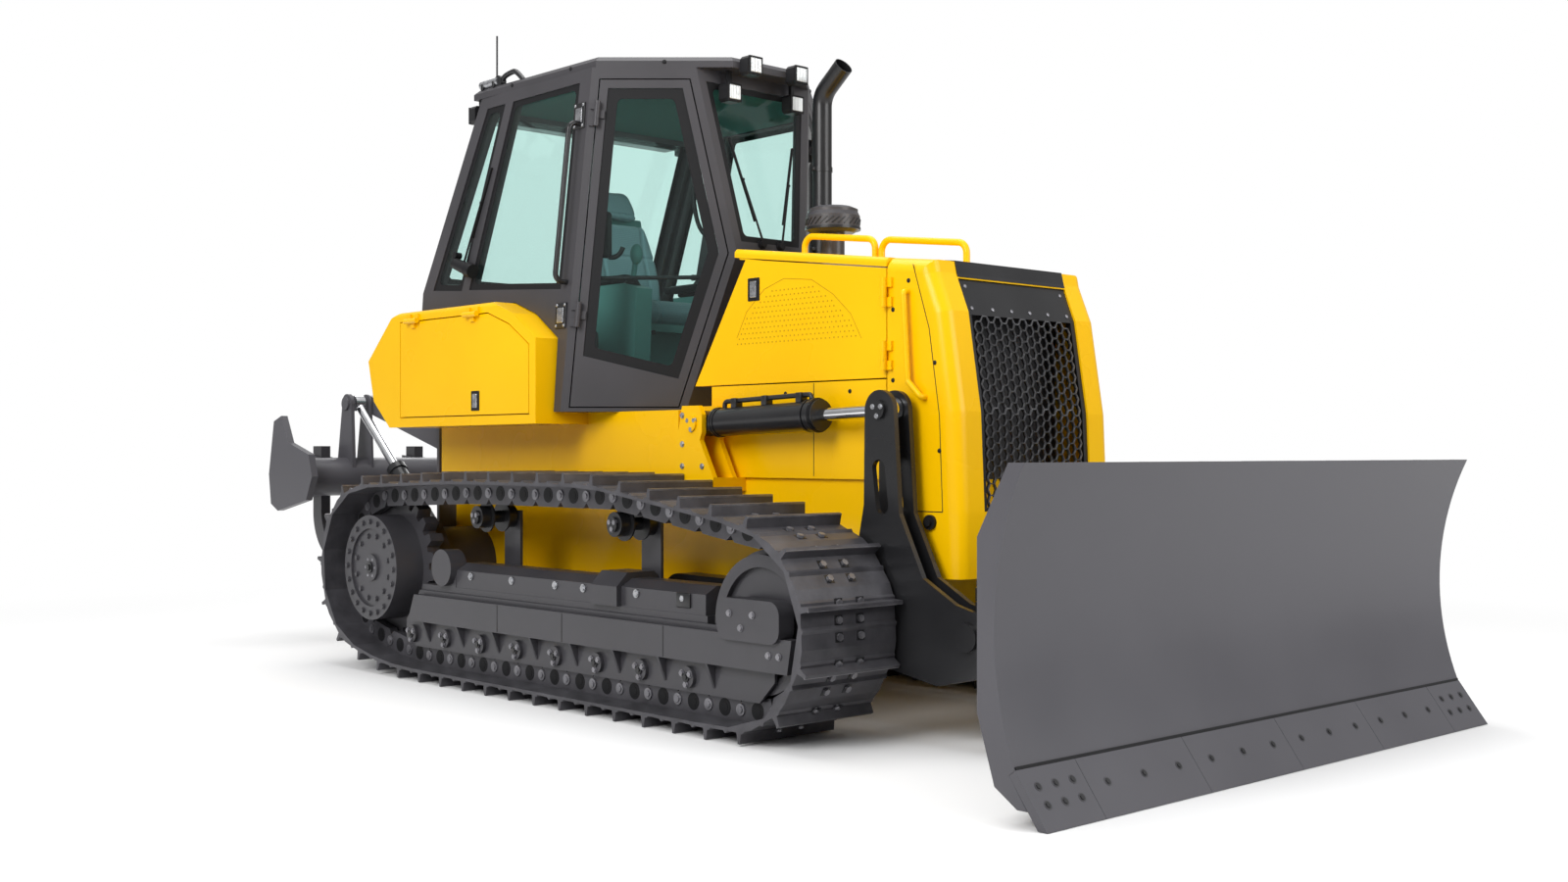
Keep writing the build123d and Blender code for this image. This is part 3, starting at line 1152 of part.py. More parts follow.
tilt_barrel = make_barrel(TILT_BARREL[1], TILT_BARREL[0], ANGLE_BARREL_R, ANGLE_ROD_R, TILT_EYE, TILT_EYE_R,
                          TILT_CYL_PIN_R)
save("tilt_barrel", place_yz(tilt_barrel, TILT_BASE))
save("tilt_rod", place_yz(make_rod(TILT_ROD_LENGTH, ANGLE_ROD_R, TILT_EYE, TILT_ROD_EYE_R), TILT_LUG))


# Blade and cutting edge
def make_blade():
    face = ThreePointArc(BLADE_TOP, BLADE_WAIST, EDGE_TOP)
    heel_x, heel_z = EDGE_HEEL
    back = Polyline(EDGE_TOP, EDGE_SEAT, (heel_x, heel_z), (heel_x - 40, heel_z),
                    (BLADE_BACK_X + 70, heel_z + 58),
                    (BLADE_BACK_X, 330), (BLADE_BACK_X, 880), (BLADE_TOP[0] - 64, BLADE_TOP[1]), BLADE_TOP)
    full = Plane.XZ * make_face([face, back])
    full = extrude(Pos(0, -BLADE_HALF, 0) * full, amount=2 * BLADE_HALF, dir=(0, 1, 0))
    rear_face = Pos(-BLADE_SKIN, 0) * face
    skin = Plane.XZ * make_face([face, Line(face @ 1, rear_face @ 1), rear_face, Line(rear_face @ 0, face @ 0)])
    blade = extrude(Pos(0, -BLADE_HALF, 0) * skin, amount=2 * BLADE_HALF, dir=(0, 1, 0))
    far = (BLADE_BACK_X - 200, BLADE_TIP_X)
    lanes = [block(far, (-BLADE_HALF, BLADE_HALF), heights) for heights in BLADE_BOX_Z]
    lanes.append(block(far, (-HUB_HALF, HUB_HALF), (0, BLADE_TOP[1])))
    for y in (*RIB_Y, BLADE_HALF - BLADE_RIB / 2):
        lanes.append(both(block(far, (y - BLADE_RIB / 2, y + BLADE_RIB / 2), (0, BLADE_TOP[1]))))
    lug_y, lug_z = TILT_LUG
    lanes.append(block(far, (lug_y - 55, lug_y + 55), (lug_z - 60, lug_z + 60)))
    for lane in lanes:
        blade += full & lane
    hub = block((YOKE_FACE + 15, BLADE_BACK_X + 20), (-130, 130), (TILT_Z - 130, TILT_Z + 130))
    hub -= round_bar((YOKE_FACE, 0, TILT_Z), (YOKE_FACE + 140, 0, TILT_Z), TILT_PIN_R + PIN_GAP)
    lug_front = TILT_CYL_X + TILT_EYE / 2 + SIDE_GAP
    lug = block((lug_front, BLADE_BACK_X + 20), (lug_y - 55, lug_y + 55), (lug_z - 60, lug_z + 60))
    return blade + hub + lug


def make_cutting_edge():
    start = (EDGE_TOP[0] + 2.5, EDGE_TOP[1] + 1.2)
    section = [start, (BLADE_TIP_X, 0), (BLADE_TIP_X - 37, 0), (EDGE_SEAT[0] + 1.4, EDGE_SEAT[1] - 1.2)]
    pieces = []
    bounds = [-BLADE_HALF - EDGE_JOINT, *EDGE_SEAMS, BLADE_HALF + EDGE_JOINT]
    for low, high in zip(bounds, bounds[1:]):
        pieces.append(plate_xz(section, low + EDGE_JOINT, high - EDGE_JOINT))
    return Compound(children=pieces)


save("blade", make_blade())
save("cutting_edge", make_cutting_edge())


# Ripper


def ear(centre, radius, wall_x, lane):
    x, z = centre
    flat = plate_xz([(wall_x, z - radius), (x, z - radius), (x, z + radius), (wall_x, z + radius)], *lane)
    return flat + round_y(centre, radius, *lane)


def make_ripper_mount():
    base = block(MOUNT_X, (-MOUNT_HALF, MOUNT_HALF), (RIP_LOW_HULL[1] - 80, RIP_HIGH_HULL[1] + 80))
    wall = MOUNT_X[0]
    ears = ear(RIP_LOW_HULL, 75, wall, EAR_IN) + ear(RIP_LOW_HULL, 75, wall, EAR_MID)
    ears += ear(RIP_HIGH_HULL, 70, wall, EAR_MID) + ear(RIP_HIGH_HULL, 70, wall, LEVER_IN)
    ears += ear(RIP_BASE, 62, wall, LEVER_IN) + ear(RIP_BASE, 62, wall, LEVER_OUT)
    ears += round_y(RIP_LOW_HULL, RIP_PIN_R, EAR_IN[0], EAR_MID[1])
    ears += round_y(RIP_HIGH_HULL, RIP_PIN_R, EAR_MID[0], LEVER_IN[1])
    ears += round_y(RIP_BASE, RIP_PIN_R, LEVER_IN[0], LEVER_OUT[1] + 12)
    return base + both(ears)


def make_ripper_arm():
    arm = capsule_xz(RIP_LOW_HULL, RIP_LOW_BEAM, 65, 48, *RIP_ARM_Y)
    middle = [(a + b) / 2 for a, b in zip(RIP_LOW_HULL, RIP_LOW_BEAM)]
    arm += round_y(middle, 50, 0, RIP_ARM_Y[0])
    for pin in (RIP_LOW_HULL, RIP_LOW_BEAM):
        arm -= round_y(pin, RIP_PIN_R + PIN_GAP, RIP_ARM_Y[0] - 1, RIP_ARM_Y[1] + 1)
    return both(arm)


def make_ripper_link():
    link = capsule_xz(RIP_HIGH_HULL, RIP_HIGH_BEAM, 58, 52, *RIP_LINK_Y)
    for pin in (RIP_HIGH_HULL, RIP_HIGH_BEAM):
        link -= round_y(pin, RIP_PIN_R + PIN_GAP, RIP_LINK_Y[0] - 1, RIP_LINK_Y[1] + 1)
    return both(link)


def make_ripper_beam():
    x, z = RIP_TUBE
    side = round_y(RIP_TUBE, RIP_TUBE_R, 0, RIP_END_Y[0])
    top_x, top_z = RIP_HIGH_BEAM
    for lane in (LEVER_IN, LEVER_OUT):
        side += plate_xz([(x + 105, z), (top_x + 55, top_z), (top_x - 55, top_z), (x - 105, z)], *lane)
        side += round_y(RIP_HIGH_BEAM, 58, *lane)
    side += round_y(RIP_HIGH_BEAM, RIP_PIN_R, RIP_LINK_Y[0] - 3, LEVER_IN[0])
    side += round_y(RIP_HIGH_BEAM, 40, LEVER_OUT[1], LEVER_OUT[1] + 14)
    low_x, low_z = RIP_LOW_BEAM
    for lane in (EAR_IN, EAR_MID):
        side += plate_xz([(low_x - 60, low_z), (low_x + 60, low_z), (x + 80, z), (x - 80, z)], *lane)
        side += round_y(RIP_LOW_BEAM, 60, *lane)
    side += round_y(RIP_LOW_BEAM, RIP_PIN_R, EAR_IN[0], EAR_MID[1])
    side += plate_xz(END_PLATE, *RIP_END_Y)
    back = SHANK_BACK_X - 15
    outline = [(x, z - 100), (x, z + 100), (back, z + 130), (back, z - 130)]
    for y in (0, SHANK_Y):
        for low in (y - SHANK_THICK / 2 - SHANK_CHEEK, y + SHANK_THICK / 2):
            cheek = plate_xz(outline, low, low + SHANK_CHEEK)
            side += cheek & block((-4000, 0), (0, 2000), (0, 3000))
    return both(side)


def make_shanks():
    tip_x, tip_z = SHANK_TIP
    rear = ThreePointArc((SHANK_BACK_X, 780), (SHANK_BACK_X + 55, 610), (SHANK_BACK_X + 195, tip_z + 10))
    front = ThreePointArc((tip_x - 25, tip_z + 50), (SHANK_FRONT_X + 45, 650), (SHANK_FRONT_X, 790))
    outline = [rear, Polyline(rear @ 1, SHANK_TIP, front @ 0), front,
               Polyline(front @ 1, (SHANK_FRONT_X, SHANK_TOP), (SHANK_BACK_X, SHANK_TOP), rear @ 0)]
    face = Plane.XZ * make_face(outline)
    shanks = []
    for y in (-SHANK_Y, 0, SHANK_Y):
        shanks.append(extrude(Pos(0, y - SHANK_THICK / 2, 0) * face, amount=SHANK_THICK, dir=(0, 1, 0)))
    return Compound(children=shanks)


save("ripper_mount", make_ripper_mount())
save("ripper_arm", make_ripper_arm())
save("ripper_link", make_ripper_link())
save("ripper_beam", make_ripper_beam())
save("ripper_shanks", make_shanks())
rip_lean = lean_xz(RIP_BASE, RIP_HIGH_BEAM)
rip_barrel = make_barrel(RIP_BARREL[1], RIP_BARREL[0], RIP_BARREL_R, RIP_ROD_R, RIP_EYE, RIP_EYE_R, RIP_PIN_R)
save("ripper_barrels", both(place_xz(rip_barrel, RIP_BASE, rip_lean, RIP_CYL_Y)))
rip_rod = make_rod(RIP_ROD_LENGTH, RIP_ROD_R, RIP_ROD_EYE, RIP_ROD_EYE_R)
save("ripper_rods", both(place_xz(rip_rod, RIP_HIGH_BEAM, rip_lean, RIP_CYL_Y)))


# Pieces on the hood and the cab


def above_hood(shape):
    ends = [TONGUE[0] - 300, HOOD_TOP_LINE[1][0], HOOD_TOP_LINE[2][0]]
    line = [(x, hood_line(x)) for x in ends]
    return shape - plate_xz(line + [(ends[-1], 1500), (ends[0], 1500)], -HOOD_HALF, HOOD_HALF)


def make_exhaust():
    x, y = EXHAUST
    path = FilletPolyline((x, y, 2000), (x, y, EXHAUST_TOP - 150), (x + 150, y, EXHAUST_TOP - 30),
                          radius=EXHAUST_BEND)
    pipe = sweep(Plane(origin=path @ 0, z_dir=path % 0) * Circle(EXHAUST_R), path=path)
    bore = sweep(Plane(origin=path @ 0, z_dir=path % 0) * Circle(EXHAUST_R - EXHAUST_WALL), path=path)
    flange = round_bar((x, y, 2000), (x, y, hood_line(x) + 25), EXHAUST_R + EXHAUST_FLANGE)
    return above_hood(pipe + flange - bore)


def make_cleaner():
    x, y = CLEANER
    low, high = CLEANER_Z
    neck = round_bar((x, y, 2000), (x, y, low), CLEANER_NECK_R)
    points = [(0, low), (100, low), (CLEANER_R, low + 18), (CLEANER_R, high - 45), (118, high - 25),
              (118, high - 12), (90, high), (0, high)]
    bowl = revolve(Plane.XZ * make_face(Polyline(*points, close=True)), axis=Axis.Z)
    return above_hood(neck + Pos(x, y, 0) * bowl)


def make_hood_rails():
    rails = []
    for start, end in RAIL_SPANS:
        points = [(start, HOOD_RAIL_Y, 1800), (start, HOOD_RAIL_Y, hood_line(start) + RAIL_RISE),
                  (end, HOOD_RAIL_Y, hood_line(end) + RAIL_RISE), (end, HOOD_RAIL_Y, 1800)]
        rails += above_hood(bent_bar(points, RAIL_BAR_R, 50)).solids()
    points = [(x, -HOOD_HALF if index in (0, len(GRAB_BAR) - 1) else -GRAB_Y, z)
              for index, (x, z) in enumerate(GRAB_BAR)]
    bar = bent_bar(points, GRAB_R, GRAB_R + 2)
    return Compound(children=[*rails, bar, mirrored(bar)])


def make_lamps():
    lamp = Part() + [chamfer(Box(LAMP_SIZE[0], LAMP_SIZE[1], LAMP_SIZE[1]).edges().filter_by(Axis.X), 14)]
    nose_x = ROOF_PLAN[0][0]
    upper = Pos(nose_x + 30, -150, ROOF_Z[0] + 12) * lamp
    lower = Pos(nose_x - 60, -206, ROOF_Z[0] - 110) * lamp
    stem = block((nose_x - 80, nose_x - 60), (-216, -196), (ROOF_Z[0] - 66, ROOF_Z[0]))
    tail_x, tail_y = ROOF_PLAN[2][0] + 40, ROOF_PLAN[2][1] - 45
    rear = Pos(tail_x - 60, -tail_y, ROOF_Z[0] - 70) * lamp
    rear += block((tail_x - 40, tail_x - 15), (-tail_y - 15, -tail_y + 15), (ROOF_Z[0] - 55, ROOF_Z[0]))
    groups = [upper, lower + stem, rear]
    return Compound(children=[shape for group in groups for shape in (group, mirrored(group))])


def make_roof_fittings():
    back = ROOF_PLAN[2][0]
    unit = block((back - REAR_UNIT_DEEP, back), (-REAR_UNIT_HALF, REAR_UNIT_HALF), (ROOF_Z[0] - 90, ROOF_Z[1]))
    x, y = back - REAR_UNIT_DEEP / 2, -560
    aerial = round_bar((x, y, ROOF_Z[1]), (x, y, ROOF_Z[1] + 40), 18)
    aerial += round_bar((x, y, ROOF_Z[1]), (x, y, AERIAL_TOP), AERIAL_R)
    return Compound(children=[chamfer(unit.edges().filter_by(Axis.Y), 15), aerial])


def make_cab_rails():
    # bar beside the door pillar, carried on the cab's side
    low, high = CAB_RAIL_Z
    stand = CAB_RAIL_STAND
    x_low, x_high = ridge(low).X - 45, ridge(high).X - 45
    points = [(x_low, side_y(low), low), (x_low, side_y(low) - stand, low),
              (x_high, side_y(high) - stand, high), (x_high, side_y(high), high)]
    bar = bent_bar(points, CAB_RAIL_R, 40)
    return bar - cab_volume(0, CAB_FLOOR, CAB_TOP)


save("exhaust_stack", make_exhaust())
save("air_precleaner", make_cleaner())
save("hood_rails", make_hood_rails())
save("work_lamps", make_lamps())
save("roof_fittings", make_roof_fittings())
rail_right = make_cab_rails()
save("cab_rails", Compound(children=[rail_right, mirrored(rail_right)]))
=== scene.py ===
import math

import bmesh
import bpy
from mathutils import Matrix, Vector
from mathutils.geometry import convex_hull_2d


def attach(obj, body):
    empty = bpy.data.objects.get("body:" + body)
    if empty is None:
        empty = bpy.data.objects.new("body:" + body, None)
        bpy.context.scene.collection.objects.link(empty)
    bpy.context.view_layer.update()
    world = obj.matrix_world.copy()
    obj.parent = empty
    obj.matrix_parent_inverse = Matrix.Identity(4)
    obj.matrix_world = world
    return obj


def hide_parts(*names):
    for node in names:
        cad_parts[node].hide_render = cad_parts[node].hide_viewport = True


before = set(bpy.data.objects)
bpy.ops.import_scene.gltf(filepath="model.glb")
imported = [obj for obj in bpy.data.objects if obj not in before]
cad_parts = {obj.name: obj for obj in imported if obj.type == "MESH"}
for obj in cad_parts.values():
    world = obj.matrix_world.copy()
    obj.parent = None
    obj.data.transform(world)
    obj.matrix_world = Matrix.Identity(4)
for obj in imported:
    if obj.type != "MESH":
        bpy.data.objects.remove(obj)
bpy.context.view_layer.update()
print("frame loaded:", len(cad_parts), "nodes")


# Materials

noiseSpan = (0.3, 0.7)  # the part of a noise texture's range that shows
waveTurn = 6.3  # bands a metre for a wave texture of scale one
bumpDeep = 0.001  # metres


def srgb(code):
    parts = [int(code[i:i + 2], 16) / 255 for i in (1, 3, 5)]
    return tuple(p / 12.92 if p <= 0.04045 else ((p + 0.055) / 1.055) ** 2.4 for p in parts) + (1.0,)


def addNode(tree, kind, values=None, links=None, **settings):  # a node in links stands for its first output
    node = tree.nodes.new(kind)
    for name, value in settings.items():
        setattr(node, name, value)
    for name, value in (values or {}).items():
        node.inputs[name].default_value = value
    for name, sources in (links or {}).items():
        for source in sources if isinstance(sources, list) else [sources]:
            socket = source if isinstance(source, bpy.types.NodeSocket) else source.outputs[0]
            tree.links.new(socket, node.inputs[name])
    return node


def startMaterial(name):
    material = bpy.data.materials.new(name)
    material.use_nodes = True
    tree = material.node_tree
    tree.nodes.clear()
    return material, tree, addNode(tree, "ShaderNodeTexCoord").outputs["Object"]


def endMaterial(material, tree, shader):
    addNode(tree, "ShaderNodeOutputMaterial", links={"Surface": shader})
    return material


def perMetre(millimetres):  # texture scale for a pattern of this size
    return 1000.0 / millimetres


def endFinish(material, tree, look, span, pattern, relief, bump, values, links=None):  # colours, relief and shader
    tone = addNode(tree, "ShaderNodeValToRGB", links={"Fac": pattern})
    for stop, place, code in zip(tone.color_ramp.elements, span, (look["shade"], look["colour"])):
        stop.position = place
        stop.color = srgb(code)
    normal = addNode(tree, "ShaderNodeBump", dict(zip(("Strength", "Distance"), bump)), {"Height": relief})
    shader = addNode(tree, "ShaderNodeBsdfPrincipled", values,
                     {"Base Color": tone, "Normal": normal, **(links or {})})
    return endMaterial(material, tree, shader)


def mottled(name, look, span, clouds, grains, values):  # clouds in colour and gloss, a fine grain in relief
    material, tree, place = startMaterial(name)
    cloud, grain = [addNode(tree, "ShaderNodeTexNoise", {"Scale": perMetre(look[size]), "Detail": detail,
                            "Roughness": rough}, {"Vector": place})
                    for size, (detail, rough) in (("cloudMm", clouds), ("grainMm", grains))]
    spans = dict(zip(("From Min", "From Max", "To Min", "To Max"), noiseSpan + look["rough"]))
    gloss = addNode(tree, "ShaderNodeMapRange", spans, {"Value": cloud})
    return endFinish(material, tree, look, span, cloud, grain, (look["grain"], bumpDeep), values,
                     {"Roughness": gloss})


def enamel(name, look):  # sprayed and baked paint: even colour, faint orange peel, soft film of dust
    return mottled(name, look, noiseSpan, (4.0, 0.5), (2.0, 0.5), {"Coat Weight": look["coat"],
                   "Coat Roughness": 0.12, "IOR": 1.5, "Specular IOR Level": look["shine"]})


def bareSteel(name, look):  # rolled or forged steel: mottled scale, paler where it rubs
    return mottled(name, look, (0.35, 0.68), (6.0, 0.6), (3.0, 0.5), {"Metallic": look["metallic"]})


def tintedGlass(name, look):  # toughened float glass, tinted green-blue through its body, mirror-smooth
    material, tree, place = startMaterial(name)
    wave = addNode(tree, "ShaderNodeTexNoise", {"Scale": perMetre(look["waveMm"]), "Detail": 1.0},
                   {"Vector": place})
    bump = addNode(tree, "ShaderNodeBump", {"Strength": 0.01, "Distance": bumpDeep}, {"Height": wave})
    facing = addNode(tree, "ShaderNodeLayerWeight", {"Blend": 0.5}, {"Normal": bump})
    rise = addNode(tree, "ShaderNodeMath", {1: 5.0}, {0: facing.outputs["Facing"]}, operation="POWER")
    share = addNode(tree, "ShaderNodeMapRange", {"To Min": look["mirror"]}, {"Value": rise})
    through = addNode(tree, "ShaderNodeBsdfTransparent", {"Color": srgb(look["colour"])})
    shine = addNode(tree, "ShaderNodeBsdfGlossy", {"Roughness": 0.02}, {"Normal": bump})
    glass = addNode(tree, "ShaderNodeMixShader", links={"Fac": share, 1: through, 2: shine})
    return endMaterial(material, tree, glass)


def mouldedPlastic(name, look):  # injection moulded, with a fine spark-eroded grain
    material, tree, place = startMaterial(name)
    grain = addNode(tree, "ShaderNodeTexNoise", {"Scale": perMetre(look["grainMm"]), "Detail": 2.0},
                    {"Vector": place})
    return endFinish(material, tree, look, noiseSpan, grain, grain, (look["grain"], bumpDeep),
                     {"Roughness": look["rough"], "IOR": 1.46, "Specular IOR Level": 0.25})


def prismLens(name, look):  # clear moulded polycarbonate over a bright reflector, ribbed inside
    material, tree, place = startMaterial(name)
    ribs = addNode(tree, "ShaderNodeTexWave", {"Scale": perMetre(look["ribMm"]) / waveTurn, "Distortion": 0.4},
                   {"Vector": place}, bands_direction="Y").outputs["Fac"]
    return endFinish(material, tree, look, (0.1, 0.6), ribs, ribs, (0.5, 3 * bumpDeep),
                     {"Roughness": 0.12, "Metallic": 0.35, "Coat Weight": 1.0, "Coat Roughness": 0.03})


def wovenFabric(name, look):  # plain weave upholstery, threads drawn coarse enough to show
    material, tree, place = startMaterial(name)
    bands = [addNode(tree, "ShaderNodeTexWave", {"Scale": perMetre(look["threadMm"]) / waveTurn,
                     "Distortion": 1.0}, {"Vector": place}, bands_direction=way) for way in ("Y", "Z")]
    weave = addNode(tree, "ShaderNodeMath", links={i: band.outputs["Fac"] for i, band in enumerate(bands)},
                    operation="MAXIMUM")
    return endFinish(material, tree, look, (0.0, 1.0), weave, weave, (0.4, 2 * bumpDeep),
                     {"Roughness": 0.85, "Sheen Weight": 0.25})


looks = (  # what makes it, the names of its settings, then a row for each finish
    (enamel, ("colour", "shade", "rough", "shine", "cloudMm", "grainMm", "grain", "coat"), {
        "yellowEnamel": ("#FFC800", "#FBBF00", (0.24, 0.34), 0.2, 900.0, 9.0, 0.03, 0.1),
        "cabEnamel": ("#464448", "#3F3E41", (0.36, 0.48), 0.35, 500.0, 7.0, 0.05, 0.05),
        "bladeEnamel": ("#58575C", "#515055", (0.34, 0.46), 0.35, 700.0, 8.0, 0.05, 0.05),
        "blackEnamel": ("#232325", "#1B1B1D", (0.26, 0.38), 0.4, 400.0, 7.0, 0.05, 0.15),
        "grilleWire": ("#434346", "#38383B", (0.28, 0.38), 0.4, 300.0, 6.0, 0.04, 0.2),
        # darker yellow for painted shade, in the vent holes and along the pressed arc over them
        "paintedShadeEnamel": ("#C79500", "#BD8C00", (0.4, 0.5), 0.2, 300.0, 6.0, 0.04, 0.05),
        "frameEnamel": ("#47464A", "#3C3B3F", (0.3, 0.44), 0.4, 350.0, 7.0, 0.06, 0.1),
    }),
    (bareSteel, ("colour", "shade", "rough", "cloudMm", "grainMm", "grain", "metallic"), {
        "forgedSteel": ("#5B5A5F", "#454448", (0.34, 0.48), 160.0, 5.0, 0.08, 0.35),
        # pale steel of bright bolts and pins, also used as a painted highlight along the grouser tips
        "rubbedSteelAndHighlight": ("#9B9A9F", "#7A797E", (0.28, 0.4), 60.0, 3.0, 0.05, 0.7),
        "castIron": ("#3A3A3C", "#2B2B2D", (0.55, 0.7), 40.0, 3.0, 0.25, 0.3),
        "zincSteel": ("#C4C5C8", "#9B9CA0", (0.22, 0.34), 25.0, 2.0, 0.05, 0.85),
        "hardChrome": ("#E3E4E6", "#CFD0D3", (0.06, 0.12), 120.0, 1.5, 0.01, 1.0),
    }),
    (tintedGlass, ("colour", "waveMm", "mirror"), {"cabGlass": ("#F0FBF9", 400.0, 0.04)}),
    (mouldedPlastic, ("colour", "shade", "rough", "grainMm", "grain"), {
        "cabPlastic": ("#6C9C98", "#5F8D89", 0.5, 1.6, 0.15),
        "liningFelt": ("#3E7069", "#356159", 0.85, 4.0, 0.3),
        "blackRubber": ("#1D1D1F", "#161618", 0.5, 2.0, 0.12),
        "lampPlastic": ("#29292B", "#222224", 0.4, 2.0, 0.1),
    }),
    (prismLens, ("colour", "shade", "ribMm"), {"lampLens": ("#F4F6F6", "#CDD3D5", 5.0)}),
    (wovenFabric, ("colour", "shade", "threadMm"), {"seatFabric": ("#8AA6AD", "#6B868D", 5.0)}),
)
finishes = {name: make(name, dict(zip(settings, row))) for make, settings, rows in looks
            for name, row in rows.items()}

nodeFinish = {
    "yellowEnamel": ["main_frame", "hood_top", "front_cowl", "lower_side_panels", "engine_door_right",
                     "engine_door_left", "box_right", "box_left", "box_cover_right", "box_cover_left",
                     "hood_rails"],
    "cabEnamel": ["cab_frame", "cab_roof", "door_right", "door_left"],
    "bladeEnamel": ["blade", "cutting_edge", "ripper_beam", "ripper_mount", "ripper_arm", "ripper_link"],
    "blackEnamel": ["exhaust_stack", "grille", "lift_barrels", "angle_barrel_right", "angle_barrel_left",
                    "tilt_barrel", "ripper_barrels", "cab_rails", "roof_fittings", "carrier_rollers",
                    "track_rollers", "c_frame", "blade_yoke"],
    "frameEnamel": ["air_precleaner", "track_frames", "sprockets", "idlers", "ripper_shanks"],
    "forgedSteel": ["track_right", "track_left"],
    "castIron": ["engine_block", "radiator"],
    "hardChrome": ["lift_rods", "angle_rod_right", "angle_rod_left", "tilt_rod", "ripper_rods"],
    "cabGlass": ["cab_windows", "door_right_glass", "door_left_glass"],
    "cabPlastic": ["cab_controls", "seat_frame"],
    "lampPlastic": ["work_lamps"],
    "seatFabric": ["seat_pads"],
}
for finish, nodes in nodeFinish.items():
    for node in nodes:
        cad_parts[node].data.materials.clear()
        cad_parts[node].data.materials.append(finishes[finish])
print("materials:", len(finishes), "finishes on", sum(len(nodes) for nodes in nodeFinish.values()), "nodes")


# Mesh tools, all in millimetres in the frame's axes

metre = 0.001  # from millimetres


def keepPiece(name, mesh, finish, body="chassis"):
    piece = bpy.data.objects.new(name, mesh)
    bpy.context.scene.collection.objects.link(piece)
    mesh.materials.clear()
    mesh.materials.append(finishes[finish])
    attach(piece, body)
    return piece


def closeMesh(bm, name, smooth=0.0):
    bmesh.ops.scale(bm, vec=(metre, metre, metre), verts=bm.verts)
    bmesh.ops.recalc_face_normals(bm, faces=bm.faces)
    mesh = bpy.data.meshes.new(name)
    bm.to_mesh(mesh)
    bm.free()
    if smooth:
        mesh.shade_smooth()
        mesh.set_sharp_from_angle(angle=math.radians(smooth))
    return mesh


def keepMesh(bm, name, finish, body="chassis", smooth=0.0):
    return keepPiece(name, closeMesh(bm, name, smooth), finish, body)


def onlyVerts(made):
    return [item for item in made["geom"] if isinstance(item, bmesh.types.BMVert)]


def addBox(bm, low, high, bevel=0.0, turn=None):
    made = bmesh.ops.create_cube(bm, size=1.0)["verts"]
    bmesh.ops.scale(bm, vec=[b - a for a, b in zip(low, high)], verts=made)
    if bevel:
        edges = list({edge for vert in made for edge in vert.link_edges})
        made = bmesh.ops.bevel(bm, geom=edges, offset=bevel, segments=3, profile=0.5, affect="EDGES")["verts"]
    if turn:
        bmesh.ops.transform(bm, matrix=turn.to_4x4(), verts=made)
    bmesh.ops.translate(bm, vec=[(a + b) / 2 for a, b in zip(low, high)], verts=made)


def addPlate(bm, middle, across, up, out, size, bevel):  # turned block; size across, up and out
    half = Vector(size) / 2
    addBox(bm, middle - half, middle + half, bevel, Matrix((across, up, out)).transposed())


def addRod(bm, start, end, radius, sides=20, endRadius=None):
    start, end = Vector(start), Vector(end)
    turn = (end - start).to_track_quat("Z", "Y").to_matrix().to_4x4()
    bmesh.ops.create_cone(bm, cap_ends=True, segments=sides, radius1=radius,
                          radius2=radius if endRadius is None else endRadius, depth=(end - start).length,
                          matrix=Matrix.Translation((start + end) / 2) @ turn)


def addPrism(bm, outline, lift):  # closed outline pushed along lift
    face = bm.faces.new([bm.verts.new(point) for point in outline])
    bmesh.ops.translate(bm, vec=lift, verts=onlyVerts(bmesh.ops.extrude_face_region(bm, geom=[face])))


def addTube(bm, points, radius):  # smooth tube along a few given points
    curve = bpy.data.curves.new("tube", "CURVE")
    curve.dimensions = "3D"
    curve.bevel_depth = radius
    curve.bevel_resolution = 3
    curve.resolution_u = 6
    curve.use_fill_caps = True
    spline = curve.splines.new("NURBS")
    spline.points.add(len(points) - 1)
    for control, point in zip(spline.points, points):
        control.co = (*point, 1.0)
    spline.order_u = 3
    spline.use_endpoint_u = True
    holder = bpy.data.objects.new("tube", curve)
    mesh = bpy.data.meshes.new_from_object(holder)
    bm.from_mesh(mesh)
    bpy.data.objects.remove(holder)
    bpy.data.meshes.remove(mesh)
    bpy.data.curves.remove(curve)


def toLeft(bm, verts):  # from the machine's right to its left
    bmesh.ops.scale(bm, vec=(1, -1, 1), verts=verts)


def addMirror(bm):  # the same again on the machine's left
    toLeft(bm, onlyVerts(bmesh.ops.duplicate(bm, geom=bm.verts[:] + bm.edges[:] + bm.faces[:])))


# Cab faces on the machine's right: a place on each, standing out by so many millimetres
cab = {"doorEdge": (512.0, -60.0), "doorYaw": math.radians(47.4), "sideTop": (735.0, 2990.0),
       "sideLean": 0.0685, "browX": 233.0, "browZ": 2949.0, "screenLean": 127.0 / 853.0}
doorAlong = Vector((math.cos(cab["doorYaw"]), math.sin(cab["doorYaw"]), 0))
doorOut = Vector((math.sin(cab["doorYaw"]), -math.cos(cab["doorYaw"]), 0))
sideOut = Vector((0, -1, cab["sideLean"])).normalized()
screenOut = Vector((1, 0, cab["screenLean"])).normalized()
ahead, upright, rightward = Vector((1, 0, 0)), Vector((0, 0, 1)), (0, -1, 0)


def onDoor(along, z, out=0.0):
    return Vector((*cab["doorEdge"], z)) + doorAlong * along + doorOut * out


def onSide(x, z, out=0.0):
    return Vector((x, -cab["sideTop"][0] - (cab["sideTop"][1] - z) * cab["sideLean"], z)) + sideOut * out


def onScreen(y, z, out=0.0):
    return Vector((cab["browX"] + (cab["browZ"] - z) * cab["screenLean"], y, z)) + screenOut * out


# Geometry Nodes: one shape on every point, turned to the point's aim


def startTree(name, sizes):
    tree = bpy.data.node_groups.new(name, "GeometryNodeTree")
    tree.interface.new_socket("Geometry", in_out="INPUT", socket_type="NodeSocketGeometry")
    for size in sizes:
        tree.interface.new_socket(size, in_out="INPUT", socket_type="NodeSocketFloat")
    tree.interface.new_socket("Finish", in_out="INPUT", socket_type="NodeSocketMaterial")
    tree.interface.new_socket("Geometry", in_out="OUTPUT", socket_type="NodeSocketGeometry")
    return tree, addNode(tree, "NodeGroupInput").outputs


